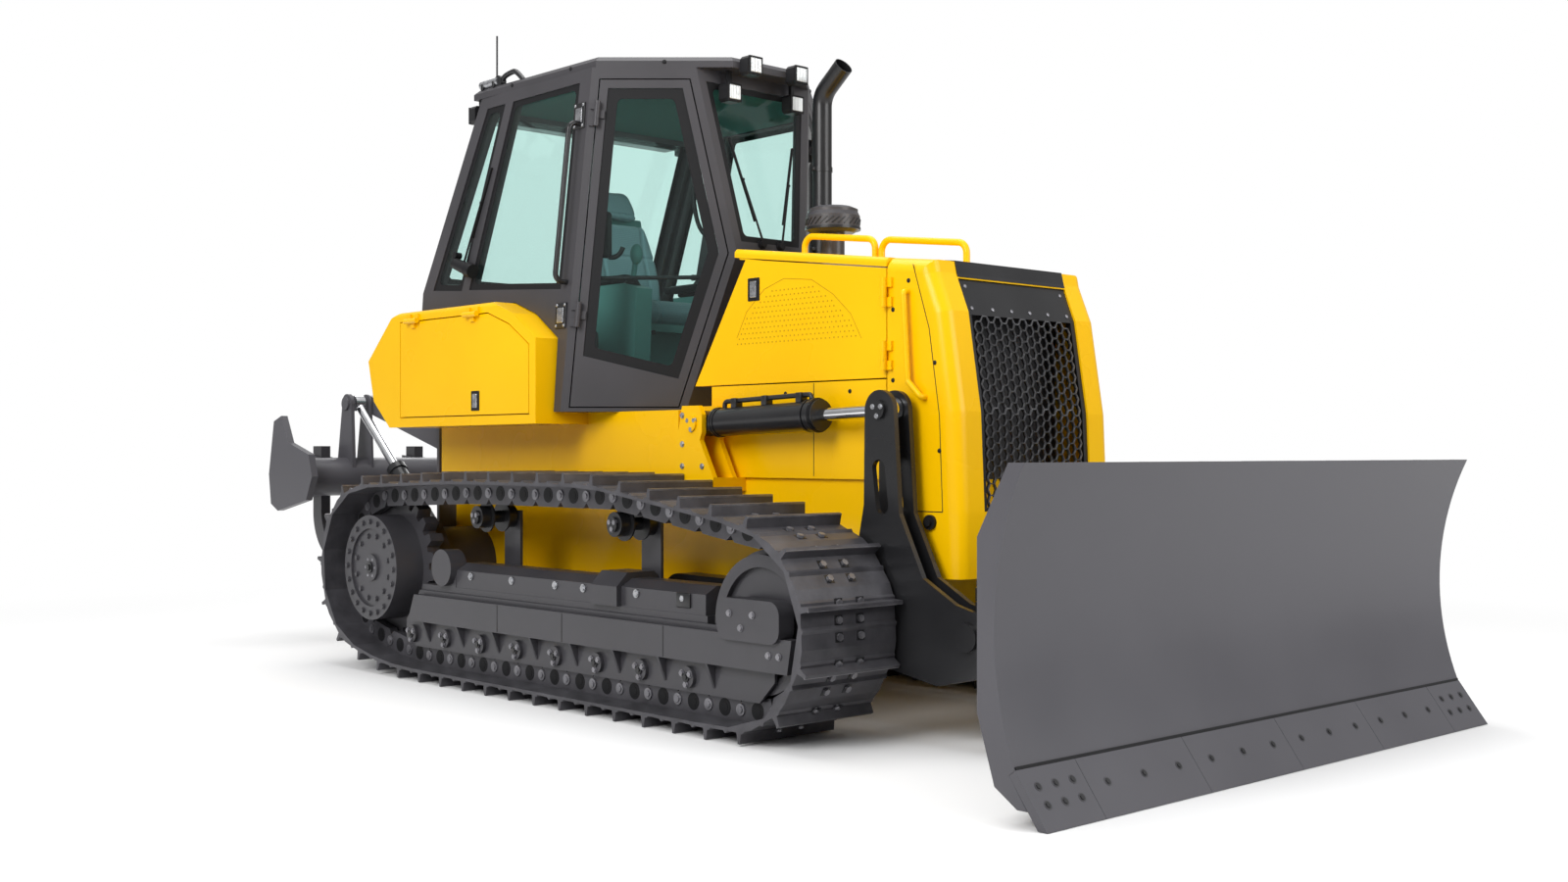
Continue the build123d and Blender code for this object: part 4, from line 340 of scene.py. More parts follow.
def endTree(tree, inputs, shape):
    aim = addNode(tree, "GeometryNodeInputNamedAttribute", {"Name": "aim"}, data_type="FLOAT_VECTOR")
    turn = addNode(tree, "FunctionNodeAlignRotationToVector", links={"Vector": aim}, axis="Z")
    spread = addNode(tree, "GeometryNodeInstanceOnPoints", links={"Points": inputs["Geometry"],
                     "Instance": shape, "Rotation": turn})
    real = addNode(tree, "GeometryNodeRealizeInstances", links={"Geometry": spread})
    done = addNode(tree, "GeometryNodeSetMaterial", links={"Geometry": real, "Material": inputs["Finish"]})
    addNode(tree, "NodeGroupOutput", links={"Geometry": done})
    return tree


def drumTree(name, sizes, drums):  # drums one in another: corners, then radius and depth as shares of a size
    tree, inputs = startTree(name, sizes)
    made = []
    for corners, *measures in drums:
        radius, depth = [addNode(tree, "ShaderNodeMath", {1: share}, {0: inputs[size]}, operation="MULTIPLY")
                         for size, share in measures]
        made.append(addNode(tree, "GeometryNodeMeshCylinder", {"Vertices": corners},
                            {"Radius": radius, "Depth": depth}))
    return endTree(tree, inputs, addNode(tree, "GeometryNodeJoinGeometry", links={"Geometry": made}))


def screwTree():  # low domed head
    tree, inputs = startTree("domeScrew", ("Radius",))
    ball = addNode(tree, "GeometryNodeMeshUVSphere", {"Segments": 12, "Rings": 6}, {"Radius": inputs["Radius"]})
    return endTree(tree, inputs, addNode(tree, "GeometryNodeTransform", {"Scale": (1.0, 1.0, 0.5)},
                                         {"Geometry": ball}))


def padTree():  # flat rectangular pad
    tree, inputs = startTree("flatPad", ("Length", "Width", "Height"))
    size = addNode(tree, "ShaderNodeCombineXYZ", links={"X": inputs["Length"], "Y": inputs["Width"],
                   "Z": inputs["Height"]})
    return endTree(tree, inputs, addNode(tree, "GeometryNodeMeshCube", links={"Size": size}))


def cellTree():  # six-sided ring, the cell of a pressed mesh
    tree, inputs = startTree("hexCell", ("Radius", "Wire", "Deep"))
    loop = addNode(tree, "GeometryNodeMeshCircle", {"Vertices": 6}, {"Radius": inputs["Radius"]})
    turned = addNode(tree, "GeometryNodeTransform", {"Rotation": (0.0, 0.0, math.pi / 2)}, {"Geometry": loop})
    path = addNode(tree, "GeometryNodeMeshToCurve", links={"Mesh": turned})
    section = addNode(tree, "GeometryNodeCurvePrimitiveQuadrilateral", links={"Width": inputs["Wire"],
                      "Height": inputs["Deep"]})
    return endTree(tree, inputs, addNode(tree, "GeometryNodeCurveToMesh", links={"Curve": path,
                                         "Profile Curve": section}))


hexBolt = ((6, ("Head", 1.0), ("Height", 1.0)), (14, ("Washer", 1.0), ("Height", 0.4)))  # head on a washer
pinBoss = ((18, ("Radius", 1.0), ("Height", 1.0)), (14, ("Radius", 0.55), ("Height", 1.7)))  # stub on a boss
trees = {"bolt": drumTree("hexBolt", ("Head", "Height", "Washer"), hexBolt), "screw": screwTree(), "pad": padTree(),
         "boss": drumTree("pinBoss", ("Radius", "Height"), pinBoss), "cell": cellTree()}


def setOnPoints(name, kind, spots, sizes, finish, body="chassis"):  # spots: (place, aim)
    mesh = bpy.data.meshes.new(name)
    mesh.from_pydata([Vector(place) * metre for place, aim in spots], [], [])
    aims = mesh.attributes.new("aim", "FLOAT_VECTOR", "POINT")
    for item, (place, aim) in zip(aims.data, spots):
        item.vector = aim
    seeds = bpy.data.objects.new(name, mesh)
    bpy.context.scene.collection.objects.link(seeds)
    modifier = seeds.modifiers.new(kind, "NODES")
    modifier.node_group = trees[kind]
    for socket in trees[kind].interface.items_tree:
        if socket.in_out == "INPUT" and socket.name in sizes:
            modifier[socket.identifier] = sizes[socket.name] * metre
        elif socket.in_out == "INPUT" and socket.name == "Finish":
            modifier[socket.identifier] = finishes[finish]
    bpy.context.view_layer.update()
    solid = bpy.data.meshes.new_from_object(seeds.evaluated_get(bpy.context.evaluated_depsgraph_get()))
    bpy.data.objects.remove(seeds)
    bpy.data.meshes.remove(mesh)
    solid.name = name
    return keepPiece(name, solid, finish, body)


def setBolts(name, spots, head, height, washer, finish, body="chassis"):
    setOnPoints(name, "bolt", spots, {"Head": head, "Height": height, "Washer": washer}, finish, body)


def bothSides(spots):  # spots on the right, then their mirror images on the left
    return spots + [((x, -y, z), (ax, -ay, az)) for (x, y, z), (ax, ay, az) in spots]


def sideSpots(places, y):  # spots on a face that looks to the right
    return [((x, y, z), rightward) for x, z in places]


def ringSpots(centre, y, radius, count, phase=0.0):  # a bolt circle on such a face
    angles = [2 * math.pi * (i + phase) / count for i in range(count)]
    return sideSpots([(centre[0] + radius * math.cos(a), centre[1] + radius * math.sin(a)) for a in angles], y)


# Undercarriage fittings


def beltPins(track):  # pin places along the belt that the wheels hold taut, clockwise from the sprocket's top
    steps = 720
    dots = []
    for x, z, r in track["wheels"]:
        dots += [(x + r * math.cos(2 * math.pi * i / steps), z + r * math.sin(2 * math.pi * i / steps))
                 for i in range(steps)]
    order = list(reversed(convex_hull_2d([Vector(dot) for dot in dots])))
    start = next(i for i, dot in enumerate(order) if dot < steps <= order[(i + 1) % len(order)])
    ring = [Vector(dots[dot]) for dot in order[start:] + order[:start + 1]]
    lengths = [(b - a).length for a, b in zip(ring, ring[1:])]
    count = round(sum(lengths) / track["pitch"])
    pins, walked, step = [], 0.0, sum(lengths) / count
    for a, b, length in zip(ring, ring[1:], lengths):
        while len(pins) < count and len(pins) * step <= walked + length:
            pins.append(a.lerp(b, (len(pins) * step - walked) / length))
        walked += length
    return pins


def shoeFittings():
    track = {"wheels": ((-1540, 537, 375), (-650, 825, 120), (470, 825, 120), (1439, 457, 350),
                        (-1210, 257, 150)),
             "pitch": 203.0, "y": -935.0, "boltRows": ((-0.06, 60.0), (0.27, 58.0), (-0.385, 66.0)),
             "boltReach": 58.0, "grouser": (-0.30, 103.0), "railFace": 97.5}
    pins = beltPins(track)
    bolts, edges, bosses, linkShades = [], [], [], []
    for here, after in zip(pins, pins[1:] + pins[:1]):
        link = (after - here).length
        along = (after - here) / link
        out = Vector((-along.y, along.x))
        aim = (out.x, 0, out.y)
        middle = (here + after) / 2
        for share, height in track["boltRows"]:
            spot = middle + along * share * link + out * height
            bolts += [((spot.x, track["y"] + side * track["boltReach"], spot.y), aim) for side in (-1, 1)]
        share, height = track["grouser"]
        spot = middle + along * share * link + out * height
        edges.append(((spot.x, track["y"], spot.y), aim))
        for spots, place in ((bosses, here), (linkShades, middle)):
            spots += [((place.x, track["y"] + side * track["railFace"], place.y), (0, side, 0))
                      for side in (-1, 1)]
    # black pads round the shoe bolts: painted shade of the pockets they sit in
    setOnPoints("shoeBoltShade", "pad", bothSides(bolts), {"Length": 38, "Width": 40, "Height": 3}, "blackEnamel")
    setBolts("shoeBolts", bothSides(bolts), 15, 24, 14, "rubbedSteelAndHighlight")
    # pale steel strips along the grouser tips: a painted highlight on their edges
    setOnPoints("grouserHighlights", "pad", bothSides(edges), {"Length": 15, "Width": 509, "Height": 7},
                "rubbedSteelAndHighlight")
    setOnPoints("chainPins", "boss", bothSides(bosses), {"Radius": 25, "Height": 12}, "rubbedSteelAndHighlight")
    # black discs mid-link on the rails: painted shade of the link windows
    setOnPoints("linkWindowShade", "boss", bothSides(linkShades), {"Radius": 36, "Height": 3}, "blackRubber")
    print("track fittings:", len(pins), "shoes a side")


def hubFittings():
    hub = {"centre": (-1540, 537), "face": -1130, "floor": -1116, "rimCircle": 241, "dishCircle": 168,
           "capCircle": 48}
    rim = ringSpots(hub["centre"], hub["face"], hub["rimCircle"], 20)
    dish = ringSpots(hub["centre"], hub["floor"], hub["dishCircle"], 12, 0.5)
    cap = ringSpots(hub["centre"], hub["face"], hub["capCircle"], 6)
    setBolts("hubBolts", bothSides(rim + dish), 13, 22, 16, "frameEnamel")
    setOnPoints("hubScrews", "screw", bothSides(cap), {"Radius": 9}, "rubbedSteelAndHighlight")
    bm = bmesh.new()
    x, z = hub["centre"]
    for near, far, radius, sides in ((2, -8, 30, 24), (-7, -16, 15, 6)):  # oil plug and its hexagon
        addRod(bm, (x, hub["face"] + near, z), (x, hub["face"] + far, z), radius, sides)
    addMirror(bm)
    keepMesh(bm, "hubPlugs", "blackEnamel")


def frameFittings():
    base = {"rollers": (-1210, 1021, 8), "capZ": 212, "capFace": -1078, "capCircle": 30, "carriers": (-650, 470),
            "carrierZ": 825, "carrierFace": -1045, "carrierCircle": 20, "carrierCap": 33, "blockFace": -1125,
            "block": ((1350, 505), (1487, 505), (1418, 450)), "sillFace": -1105, "sill": ((1560, 352), (1620, 352)),
            "welds": (-364, 167, 900), "weldZ": (288, 418)}
    first, last, count = base["rollers"]
    rollers = [(first + (last - first) * i / (count - 1), base["capZ"]) for i in range(count)]
    caps = []
    for place in rollers:
        caps += ringSpots(place, base["capFace"], base["capCircle"], 3, 0.25)
    for x in base["carriers"]:
        caps += ringSpots((x, base["carrierZ"]), base["carrierFace"], base["carrierCircle"], 3, 0.25)
    caps += sideSpots(base["block"], base["blockFace"]) + sideSpots(base["sill"], base["sillFace"])
    setBolts("frameBolts", bothSides(caps), 12, 20, 15, "rubbedSteelAndHighlight")
    setOnPoints("rollerPlugs", "boss", bothSides(sideSpots(rollers, base["capFace"])),
                {"Radius": 20, "Height": 12}, "blackEnamel")
    cover = {"xs": (-690, -330, 30, 250, 640, 960), "y": -1046, "z": 532, "plateX": (920, 1010),
             "plateZ": (494, 556)}
    bolts = sideSpots([(x, cover["z"]) for x in cover["xs"]], cover["y"])
    setBolts("coverBolts", bothSides(bolts), 14, 16, 19, "zincSteel")
    bm = bmesh.new()
    low, high = base["weldZ"]
    for x in base["welds"]:  # welded joints of the side beam
        addBox(bm, (x - 3, base["sillFace"] - 1.2, low), (x + 3, base["sillFace"] + 2, high))
    (rear, front), (low, high) = cover["plateX"], cover["plateZ"]
    addBox(bm, (rear, cover["y"] - 6, low), (front, cover["y"] + 4, high), 5)  # inspection plate
    for x in base["carriers"]:  # carrier roller end caps
        addRod(bm, (x, base["carrierFace"] + 4, base["carrierZ"]), (x, base["carrierFace"] - 5, base["carrierZ"]),
               base["carrierCap"], 28)
    addMirror(bm)
    keepMesh(bm, "frameTrim", "blackEnamel", smooth=35)


shoeFittings()
hubFittings()
frameFittings()


# Blade: bolts of the cutting edge with painted shade round them, and a painted shadow along its joint


def edgeBolts():
    edge = {"top": (3092.5, 171.2), "tip": (3217.0, 0.0), "seams": (0, 590), "ends": (1240, 1325, 1410),
            "rows": (0.30, 0.60), "row": 0.45, "offsets": (98, 295, 492)}
    (topX, topZ), (tipX, tipZ) = edge["top"], edge["tip"]
    aim = tuple(Vector((topZ - tipZ, 0, tipX - topX)).normalized())
    places = [(y, share) for y in edge["ends"] for share in edge["rows"]]
    places += [(seam + step, edge["row"]) for seam in edge["seams"] for step in edge["offsets"]]
    spots = [((topX + (tipX - topX) * share, side * y, topZ + (tipZ - topZ) * share), aim)
             for side in (-1, 1) for y, share in places]
    # darker discs round the edge bolts: painted shade of the pits they sit in
    setOnPoints("edgeBoltPitShade", "boss", spots, {"Radius": 16, "Height": 2.4}, "frameEnamel", "blade")
    setBolts("edgeBolts", spots, 9, 8, 12, "blackEnamel", "blade")


def edgeShadowStrip():  # black strip painted as the shadow in the joint between the moldboard and the cutting edge
    groove = {"line": (3089.5, 175.0), "half": 1470.0, "wide": 7.0, "deep": 3.0, "lean": 2.0, "slope": 0.4}
    x, z = groove["line"]
    half, wide, deep, lean = (groove[key] for key in ("half", "wide", "deep", "lean"))
    low = wide * groove["slope"]
    section = ((x - deep, z - wide), (x + deep, z - low), (x + deep - lean, z + wide), (x - deep - lean, z + low))
    bm = bmesh.new()
    addPrism(bm, [(x, -half, z) for x, z in section], (0, 2 * half, 0))
    keepMesh(bm, "edgeShadowStrip", "blackRubber", "blade")


edgeBolts()
edgeShadowStrip()
print("bolts set")


# Grille: pressed hexagon mesh behind a blank top panel


def grilleMesh():
    grille = {"line": ((1861, 1870), (1927, 1711), (1993, 1306), (2012, 905)), "sunk": 15, "half": 349,
              "levels": (906, 1306, 1711), "split": 1700, "top": 1849, "cell": 47.0, "wire": 6.0, "deep": 14.0,
              "rim": 16.0, "frameOut": 6, "frameDeep": 24, "panelSunk": 8, "panelDeep": 32,
              "band": ((1790, 1930.3), (1851.5, 1923.5), (1865, 1870), (1870, 1856), (1864, 1856), (1860, 1868),
                       (1849, 1918), (1790, 1925)),
              "screws": ((1730, 1728, (-310, -180, -60, 60, 180, 310)), (1820, 1820, (-310, 310)))}
    half, rim, cell, low = grille["half"], grille["rim"], grille["cell"], grille["levels"][0]

    def onNose(z):
        for (x0, z0), (x1, z1) in zip(grille["line"], grille["line"][1:]):
            if z >= z1:
                return x0 + (x1 - x0) * (z0 - z) / (z0 - z1), Vector((z0 - z1, 0, x1 - x0)).normalized()
        return x1, ahead

    radius = cell / math.sqrt(3)
    spots = []
    columns = int((half - rim - radius) / (1.5 * radius))
    for column in range(-columns, columns + 1):
        z = low + rim + cell * (0.5 if column % 2 else 1.0)
        while z < grille["split"] - cell / 2:
            x, aim = onNose(z)
            spots.append(((x - grille["sunk"], column * 1.5 * radius, z), tuple(aim)))
            z += cell
    wires = setOnPoints("grilleMesh", "cell", spots, {"Radius": radius, "Wire": grille["wire"],
                        "Deep": grille["deep"]}, "grilleWire")
    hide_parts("grille")
    bm = bmesh.new()
    panes = [(edge, edge - side * rim * 1.6, bottom, top, grille["frameOut"] - grille["sunk"], grille["frameDeep"])
             for bottom, top in zip(grille["levels"], grille["levels"][1:])
             for side, edge in ((-1, -half), (1, half))]  # side strips of the mesh frame
    panes.append((-half, half, grille["split"], grille["top"], -grille["panelSunk"], grille["panelDeep"]))
    for start, end, bottom, top, out, deep in panes:
        corners = ((start, bottom), (end, bottom), (end, top), (start, top))
        addPrism(bm, [(onNose(z)[0] + out, y, z) for y, z in corners], (-deep, 0, 0))
    addPrism(bm, [(x, -half, z) for x, z in grille["band"]], (0, 2 * half, 0))  # black band over the nose
    foot = onNose(low)[0] - grille["sunk"] + grille["frameOut"]
    addBox(bm, (foot - grille["frameDeep"], -half, low), (foot, half, low + rim), 3)
    keepMesh(bm, "grilleFrame", "blackEnamel")
    heads = []
    for level, z, ys in grille["screws"]:
        x, aim = onNose(level)
        heads += [((x - grille["panelSunk"], y, z), tuple(aim)) for y in ys]
    setOnPoints("grilleScrews", "screw", heads, {"Radius": 9}, "rubbedSteelAndHighlight")
    print("grille cells:", len(spots))


grilleMesh()


# Cab: black borders on the panes, lamps, mirror, wipers and lining


def paneLoops(node):  # outline of every pane's outer face, with its normal
    pane = {"middle": Vector((-450, 0, 2300)), "area": 1.2e5, "weld": 0.2, "flat": 0.02}
    bm = bmesh.new()
    bm.from_mesh(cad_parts[node].data)
    bmesh.ops.scale(bm, vec=(1000, 1000, 1000), verts=bm.verts)
    bmesh.ops.remove_doubles(bm, verts=bm.verts, dist=pane["weld"])
    bmesh.ops.dissolve_limit(bm, angle_limit=pane["flat"], verts=bm.verts, edges=bm.edges)
    loops = [([vert.co.copy() for vert in face.verts], face.normal.copy()) for face in bm.faces
             if face.calc_area() > pane["area"]
             and (face.calc_center_median() - pane["middle"]).dot(face.normal) > 0]
    bm.free()
    return loops


def addBorder(bm, points, normal, wide, band):  # printed band round a pane, inner corners rounded
    count, steps = len(points), band["steps"]
    ways = [(points[(i + 1) % count] - points[i]).normalized() for i in range(count)]
    inward = [normal.cross(way) for way in ways]
    arcs = []
    for i in range(count):
        before, after = inward[i - 1], inward[i]
        centre = points[i] + (before + after) / (1 + before.dot(after)) * (wide + band["round"])
        arcs.append([centre - before.lerp(after, step / steps).normalized() * band["round"]
                     for step in range(steps + 1)])
    lift = normal * band["lift"]
    outer = [bm.verts.new(point + lift) for point in points]
    inner = [[bm.verts.new(point + lift) for point in arc] for arc in arcs]
    faces = []
    for i in range(count):
        after = (i + 1) % count
        faces.append(bm.faces.new((outer[i], outer[after], inner[after][0], inner[i][-1])))
        faces += [bm.faces.new((outer[i], inner[i][step + 1], inner[i][step])) for step in range(steps)]
    made = bmesh.ops.extrude_face_region(bm, geom=faces)
    bmesh.ops.translate(bm, vec=normal * band["thick"], verts=onlyVerts(made))


def paneBorders():
    borders = {"cab_windows": ("chassis", 30.0), "door_right_glass": ("door_right", 50.0),
               "door_left_glass": ("door_left", 50.0)}
    band = {"round": 26.0, "steps": 5, "lift": 0.3, "thick": 0.9}
    for node, (body, wide) in borders.items():
        bm = bmesh.new()
        for points, normal in paneLoops(node):
            addBorder(bm, points, normal, wide, band)
        keepMesh(bm, node + "_border", "blackRubber", body)


def lampFronts():
    lamp = {"front": ((407, 150, 2997), (317, 206, 2875)), "rear": ((-1200, 695, 2915),), "half": 34, "rim": 10,
            "sunk": 2, "bezelOut": 7, "lensOut": 10}
    bezels, lenses = bmesh.new(), bmesh.new()
    fronts = [(x, side * y, z, way) for places, way in ((lamp["front"], 1), (lamp["rear"], -1))
              for x, y, z in places for side in (-1, 1)]
    for x, y, z, way in fronts:
        for bm, half, out, bevel in ((bezels, lamp["half"] + lamp["rim"], lamp["bezelOut"], 3),
                                     (lenses, lamp["half"], lamp["lensOut"], 4)):
            near, far = sorted((x - lamp["sunk"] * way, x + out * way))
            addBox(bm, (near, y - half, z - half), (far, y + half, z + half), bevel)
    keepMesh(bezels, "lampBezels", "blackRubber")
    keepMesh(lenses, "lampLenses", "lampLens")


def hingePlates():
    plates = {"z": (1800, 2760), "set": 62.0, "plate": (86, 124, 10), "cover": (52, 74, 6), "out": 5,
              "screws": (32, 50)}
    up = Vector((0, cab["sideLean"], 1)).normalized()
    dark, bright = bmesh.new(), bmesh.new()
    spots = []
    wide, high = plates["screws"]
    for z in plates["z"]:
        ridge = onDoor((onSide(0, z).y - cab["doorEdge"][1]) / doorAlong.y, z)
        middle = onSide(ridge.x - plates["set"], z, 4)
        face = middle + sideOut * plates["out"]
        addPlate(dark, middle, ahead, up, sideOut, plates["plate"], 3)
        addPlate(bright, face, ahead, up, sideOut, plates["cover"], 4)
        spots += [(tuple(face + up * rise + ahead * shift), tuple(sideOut))
                  for rise in (-high, high) for shift in (-wide, wide)]
    addMirror(dark)
    addMirror(bright)
    keepMesh(dark, "hingePlates", "blackEnamel")
    keepMesh(bright, "hingeCovers", "zincSteel")
    setOnPoints("hingeScrews", "screw", bothSides(spots), {"Radius": 8}, "zincSteel")


def addWiper(bm, pivot, tip, out, bladeHalf, collar):  # motor boss, arm and rubber blade lying on a pane
    along = (tip - pivot).normalized()
    addRod(bm, pivot - out * 12, pivot + out * 26, 17, 18)
    addRod(bm, pivot + out * 20, tip + out * 18, 6, 10, 4)
    addPlate(bm, tip + out * 9, along, out.cross(along), out, (2 * bladeHalf, 9, 14), 2)
    addRod(bm, tip + out * 8, tip + out * 22, 7, 10)
    addRod(bm, pivot + out * 4, pivot + out * 12, collar, 18)


def wipers():
    wiper = {"sunk": -4, "screen": ((60, 2150), (150, 2460), 210, 24), "side": ((-1142, 2112), (-1010, 2430), 190, 26),
             "motor": (((-60, 16, 24), (70, -26, 24), 30, 24, 34), ((66, -25, 24), (112, -38, 24), 40, 24, 36),
                       ((-66, 60, -4), (-66, 60, 34), 18, 18, 18))}
    screen, side = bmesh.new(), bmesh.new()
    (y0, z0), (y1, z1), half, collar = wiper["screen"]
    for way in (-1, 1):
        addWiper(screen, onScreen(way * y0, z0, wiper["sunk"]), onScreen(way * y1, z1, wiper["sunk"]), screenOut,
                 half, collar)
    (x, z), tip, half, collar = wiper["side"]
    addWiper(side, onSide(x, z, wiper["sunk"]), onSide(*tip, wiper["sunk"]), sideOut, half, collar)
    for (x0, z0, out0), (x1, z1, out1), radius, sides, endRadius in wiper["motor"]:
        addRod(side, onSide(x + x0, z + z0, out0), onSide(x + x1, z + z1, out1), radius, sides, endRadius)
    addMirror(side)
    keepMesh(screen, "screenWipers", "blackRubber", smooth=35)
    keepMesh(side, "sideWipers", "blackRubber", smooth=35)


def doorBars():  # grab bar and pull handle inside each door
    bar = {"ends": ((-952.0, 1979.0), (-352.0, 1983.0)), "deep": -31.0,
           "handle": ((-352.0, 2170.0, 0.0), (-402.0, 2190.0, -5.0), (-438.0, 2350.0, -5.0), (-432.0, 2420.0, 0.0))}
    for name in ("door_right", "door_left"):
        bm = bmesh.new()
        start, end = (onDoor(along, z, bar["deep"]) for along, z in bar["ends"])
        addRod(bm, start, end, 10, 16)
        addTube(bm, [onDoor(along, z, bar["deep"] + out) for along, z, out in bar["handle"]], 11)
        if name == "door_left":
            toLeft(bm, bm.verts)
        keepMesh(bm, name + "_bars", "blackRubber", name, 40)


def doorSeals():  # rubber strips on the cab behind each door's free edges
    seal = {"edge": ((-878.0, 2925.0), (-451.9, 2925.0), (-269.6, 2096.0), (-505.6, 1361.0), (-1000.0, 1361.0)),
            "deep": -51.0, "thick": 7.0, "in": 12.0, "out": 16.0}
    bm = bmesh.new()
    for start, end in zip(seal["edge"], seal["edge"][1:]):
        way = (Vector(end) - Vector(start)).normalized()
        across = Vector((-way.y, way.x))
        corners = [Vector(point) + across * shift for point, shift in
                   ((start, seal["out"]), (end, seal["out"]), (end, -seal["in"]), (start, -seal["in"]))]
        addPrism(bm, [onDoor(*corner, seal["deep"]) for corner in corners], doorOut * -seal["thick"])
    addMirror(bm)
    keepMesh(bm, "doorSeals", "blackRubber")


def headLining():
    lining = {"plan": ((168, 325), (-130, 655), (-1030, 655)), "z": 2922, "thick": 16}
    bm = bmesh.new()
    plan = [(x, -y, lining["z"]) for x, y in lining["plan"]]
    plan += [(x, -y, z) for x, y, z in reversed(plan)]
    addPrism(bm, plan, (0, 0, lining["thick"]))
    keepMesh(bm, "headLining", "liningFelt")


def cabMirror():
    mirror = {"place": (-889.0, 2195.0, -92.0), "size": (112, 226, 44), "stay": ((40, -108), (92, -118), (110, -60)),
              "arm": ((0, 0, -100), (-20, -20, -150), (-30, -66, -160))}
    middle = onDoor(*mirror["place"])
    bm = bmesh.new()
    addPlate(bm, middle, doorAlong, upright, doorOut, mirror["size"], 20)
    addTube(bm, [middle + doorAlong * along + upright * high for along, high in mirror["stay"]], 12)
    addTube(bm, [middle + Vector(shift) for shift in mirror["arm"]], 11)
    keepMesh(bm, "cabMirror", "blackRubber", smooth=40)


def cabFittings():  # each box: rear, front, distance from the middle, half width, low, high and rounding
    boxes = {"consolePad": (-740, -400, 350, 58, 1990, 2022, 14), "leverGrip": (-284, -240, 322, 26, 1622, 1668, 12),
             "slideRail": (-850, -310, 200, 10, 1744, 1764, 4), "armrest": (-770, -420, 282, 30, 2010, 2052, 16),
             "instrumentHood": (58, 112, 0, 150, 1962, 2128, 12), "bellows": (-700, -480, 0, 150, 1420, 1720, 20)}
    for z in range(1470, 1720, 50):  # folds of the bellows under the seat
        boxes["fold" + str(z)] = (-712, -468, 0, 162, z - 12, z + 12, 8)
    bm = bmesh.new()
    for rear, front, y, half, low, high, bevel in boxes.values():
        for side in (-1, 1) if y else (1,):
            addBox(bm, (rear, side * y - half, low), (front, side * y + half, high), bevel)
    for side in (-1, 1):
        boot, lever = side * boxes["consolePad"][2], side * boxes["leverGrip"][2]
        addRod(bm, (-300, boot, 1984), (-297, boot, 2016), 46, 24, 24)  # lever boot on the console
        addTube(bm, [(-260, lever, 1490), (-262, lever, 1560), (-262, lever, 1640)], 12)
        addRod(bm, (-792, side * 262, 2028), (-740, side * 272, 2028), 20, 18)  # pin of the armrest
    keepMesh(bm, "cabFittings", "blackRubber", smooth=40)


paneBorders()
lampFronts()
hingePlates()
wipers()
doorBars()
doorSeals()
headLining()
cabMirror()
cabFittings()
print("cab dressed")


# Seat: sewn pads, swollen by a short cloth run


def swellPad(name, outline, width, narrow, settings):  # side outline (x, z) and width across, as a cushion
    bm = bmesh.new()
    addPrism(bm, [(x, -width / 2, z) for x, z in outline], (0, width, 0))
    bmesh.ops.recalc_face_normals(bm, faces=bm.faces)
    bmesh.ops.bevel(bm, geom=bm.edges[:], offset=settings["round"], segments=3, profile=0.5, affect="EDGES")
    pad = bpy.data.objects.new(name, closeMesh(bm, name))
    scene = bpy.context.scene
    scene.collection.objects.link(pad)
    remesh = pad.modifiers.new("voxels", "REMESH")
    remesh.mode = "VOXEL"
    remesh.voxel_size = settings["voxelMm"] * metre
    bpy.context.view_layer.update()
    pad.data = bpy.data.meshes.new_from_object(pad.evaluated_get(bpy.context.evaluated_depsgraph_get()))
    pad.modifiers.clear()
    low, high, share = narrow
    for vert in pad.data.vertices:  # shoulders draw in towards the top
        rise = max(0.0, (vert.co.z * 1000 - low) / (high - low))
        vert.co.y *= 1 - share * rise * rise
    still = [vert.co.copy() for vert in pad.data.vertices]
    cloth = pad.modifiers.new("stuffing", "CLOTH")
    cloth.settings.use_pressure = True
    cloth.settings.uniform_pressure_force = settings["pressure"]
    cloth.settings.effector_weights.gravity = 0.0
    cloth.point_cache.frame_start, cloth.point_cache.frame_end = 1, settings["frames"]
    for step in range(1, settings["frames"] + 1):
        scene.frame_set(step)
    swollen = pad.evaluated_get(bpy.context.evaluated_depsgraph_get()).to_mesh()
    moved = [vert.co.copy() for vert in swollen.vertices]
    pad.modifiers.clear()
    scene.frame_set(1)
    cap = settings["capMm"] * metre
    for vert, old, new in zip(pad.data.vertices, still, moved):
        shift = new - old
        vert.co = old + shift * min(1.0, cap / max(shift.length, 1e-9))
    return pad


def sewPad(pad, grooves):  # press sewn channels into a pad: axis, place, half width and depth
    mesh = pad.data
    for axis, place, half, depth in grooves:
        for vert in mesh.vertices:
            away = abs(vert.co[axis] * 1000 - place) / half
            if away < 1:
                vert.co -= vert.normal * depth * metre * (math.cos(math.pi * away) + 1) / 2
    mesh.shade_smooth()
    finer = pad.modifiers.new("finer", "SUBSURF")
    finer.levels = finer.render_levels = 1
    mesh.materials.clear()
    mesh.materials.append(finishes["seatFabric"])
    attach(pad, "chassis")
    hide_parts("seat_pads")


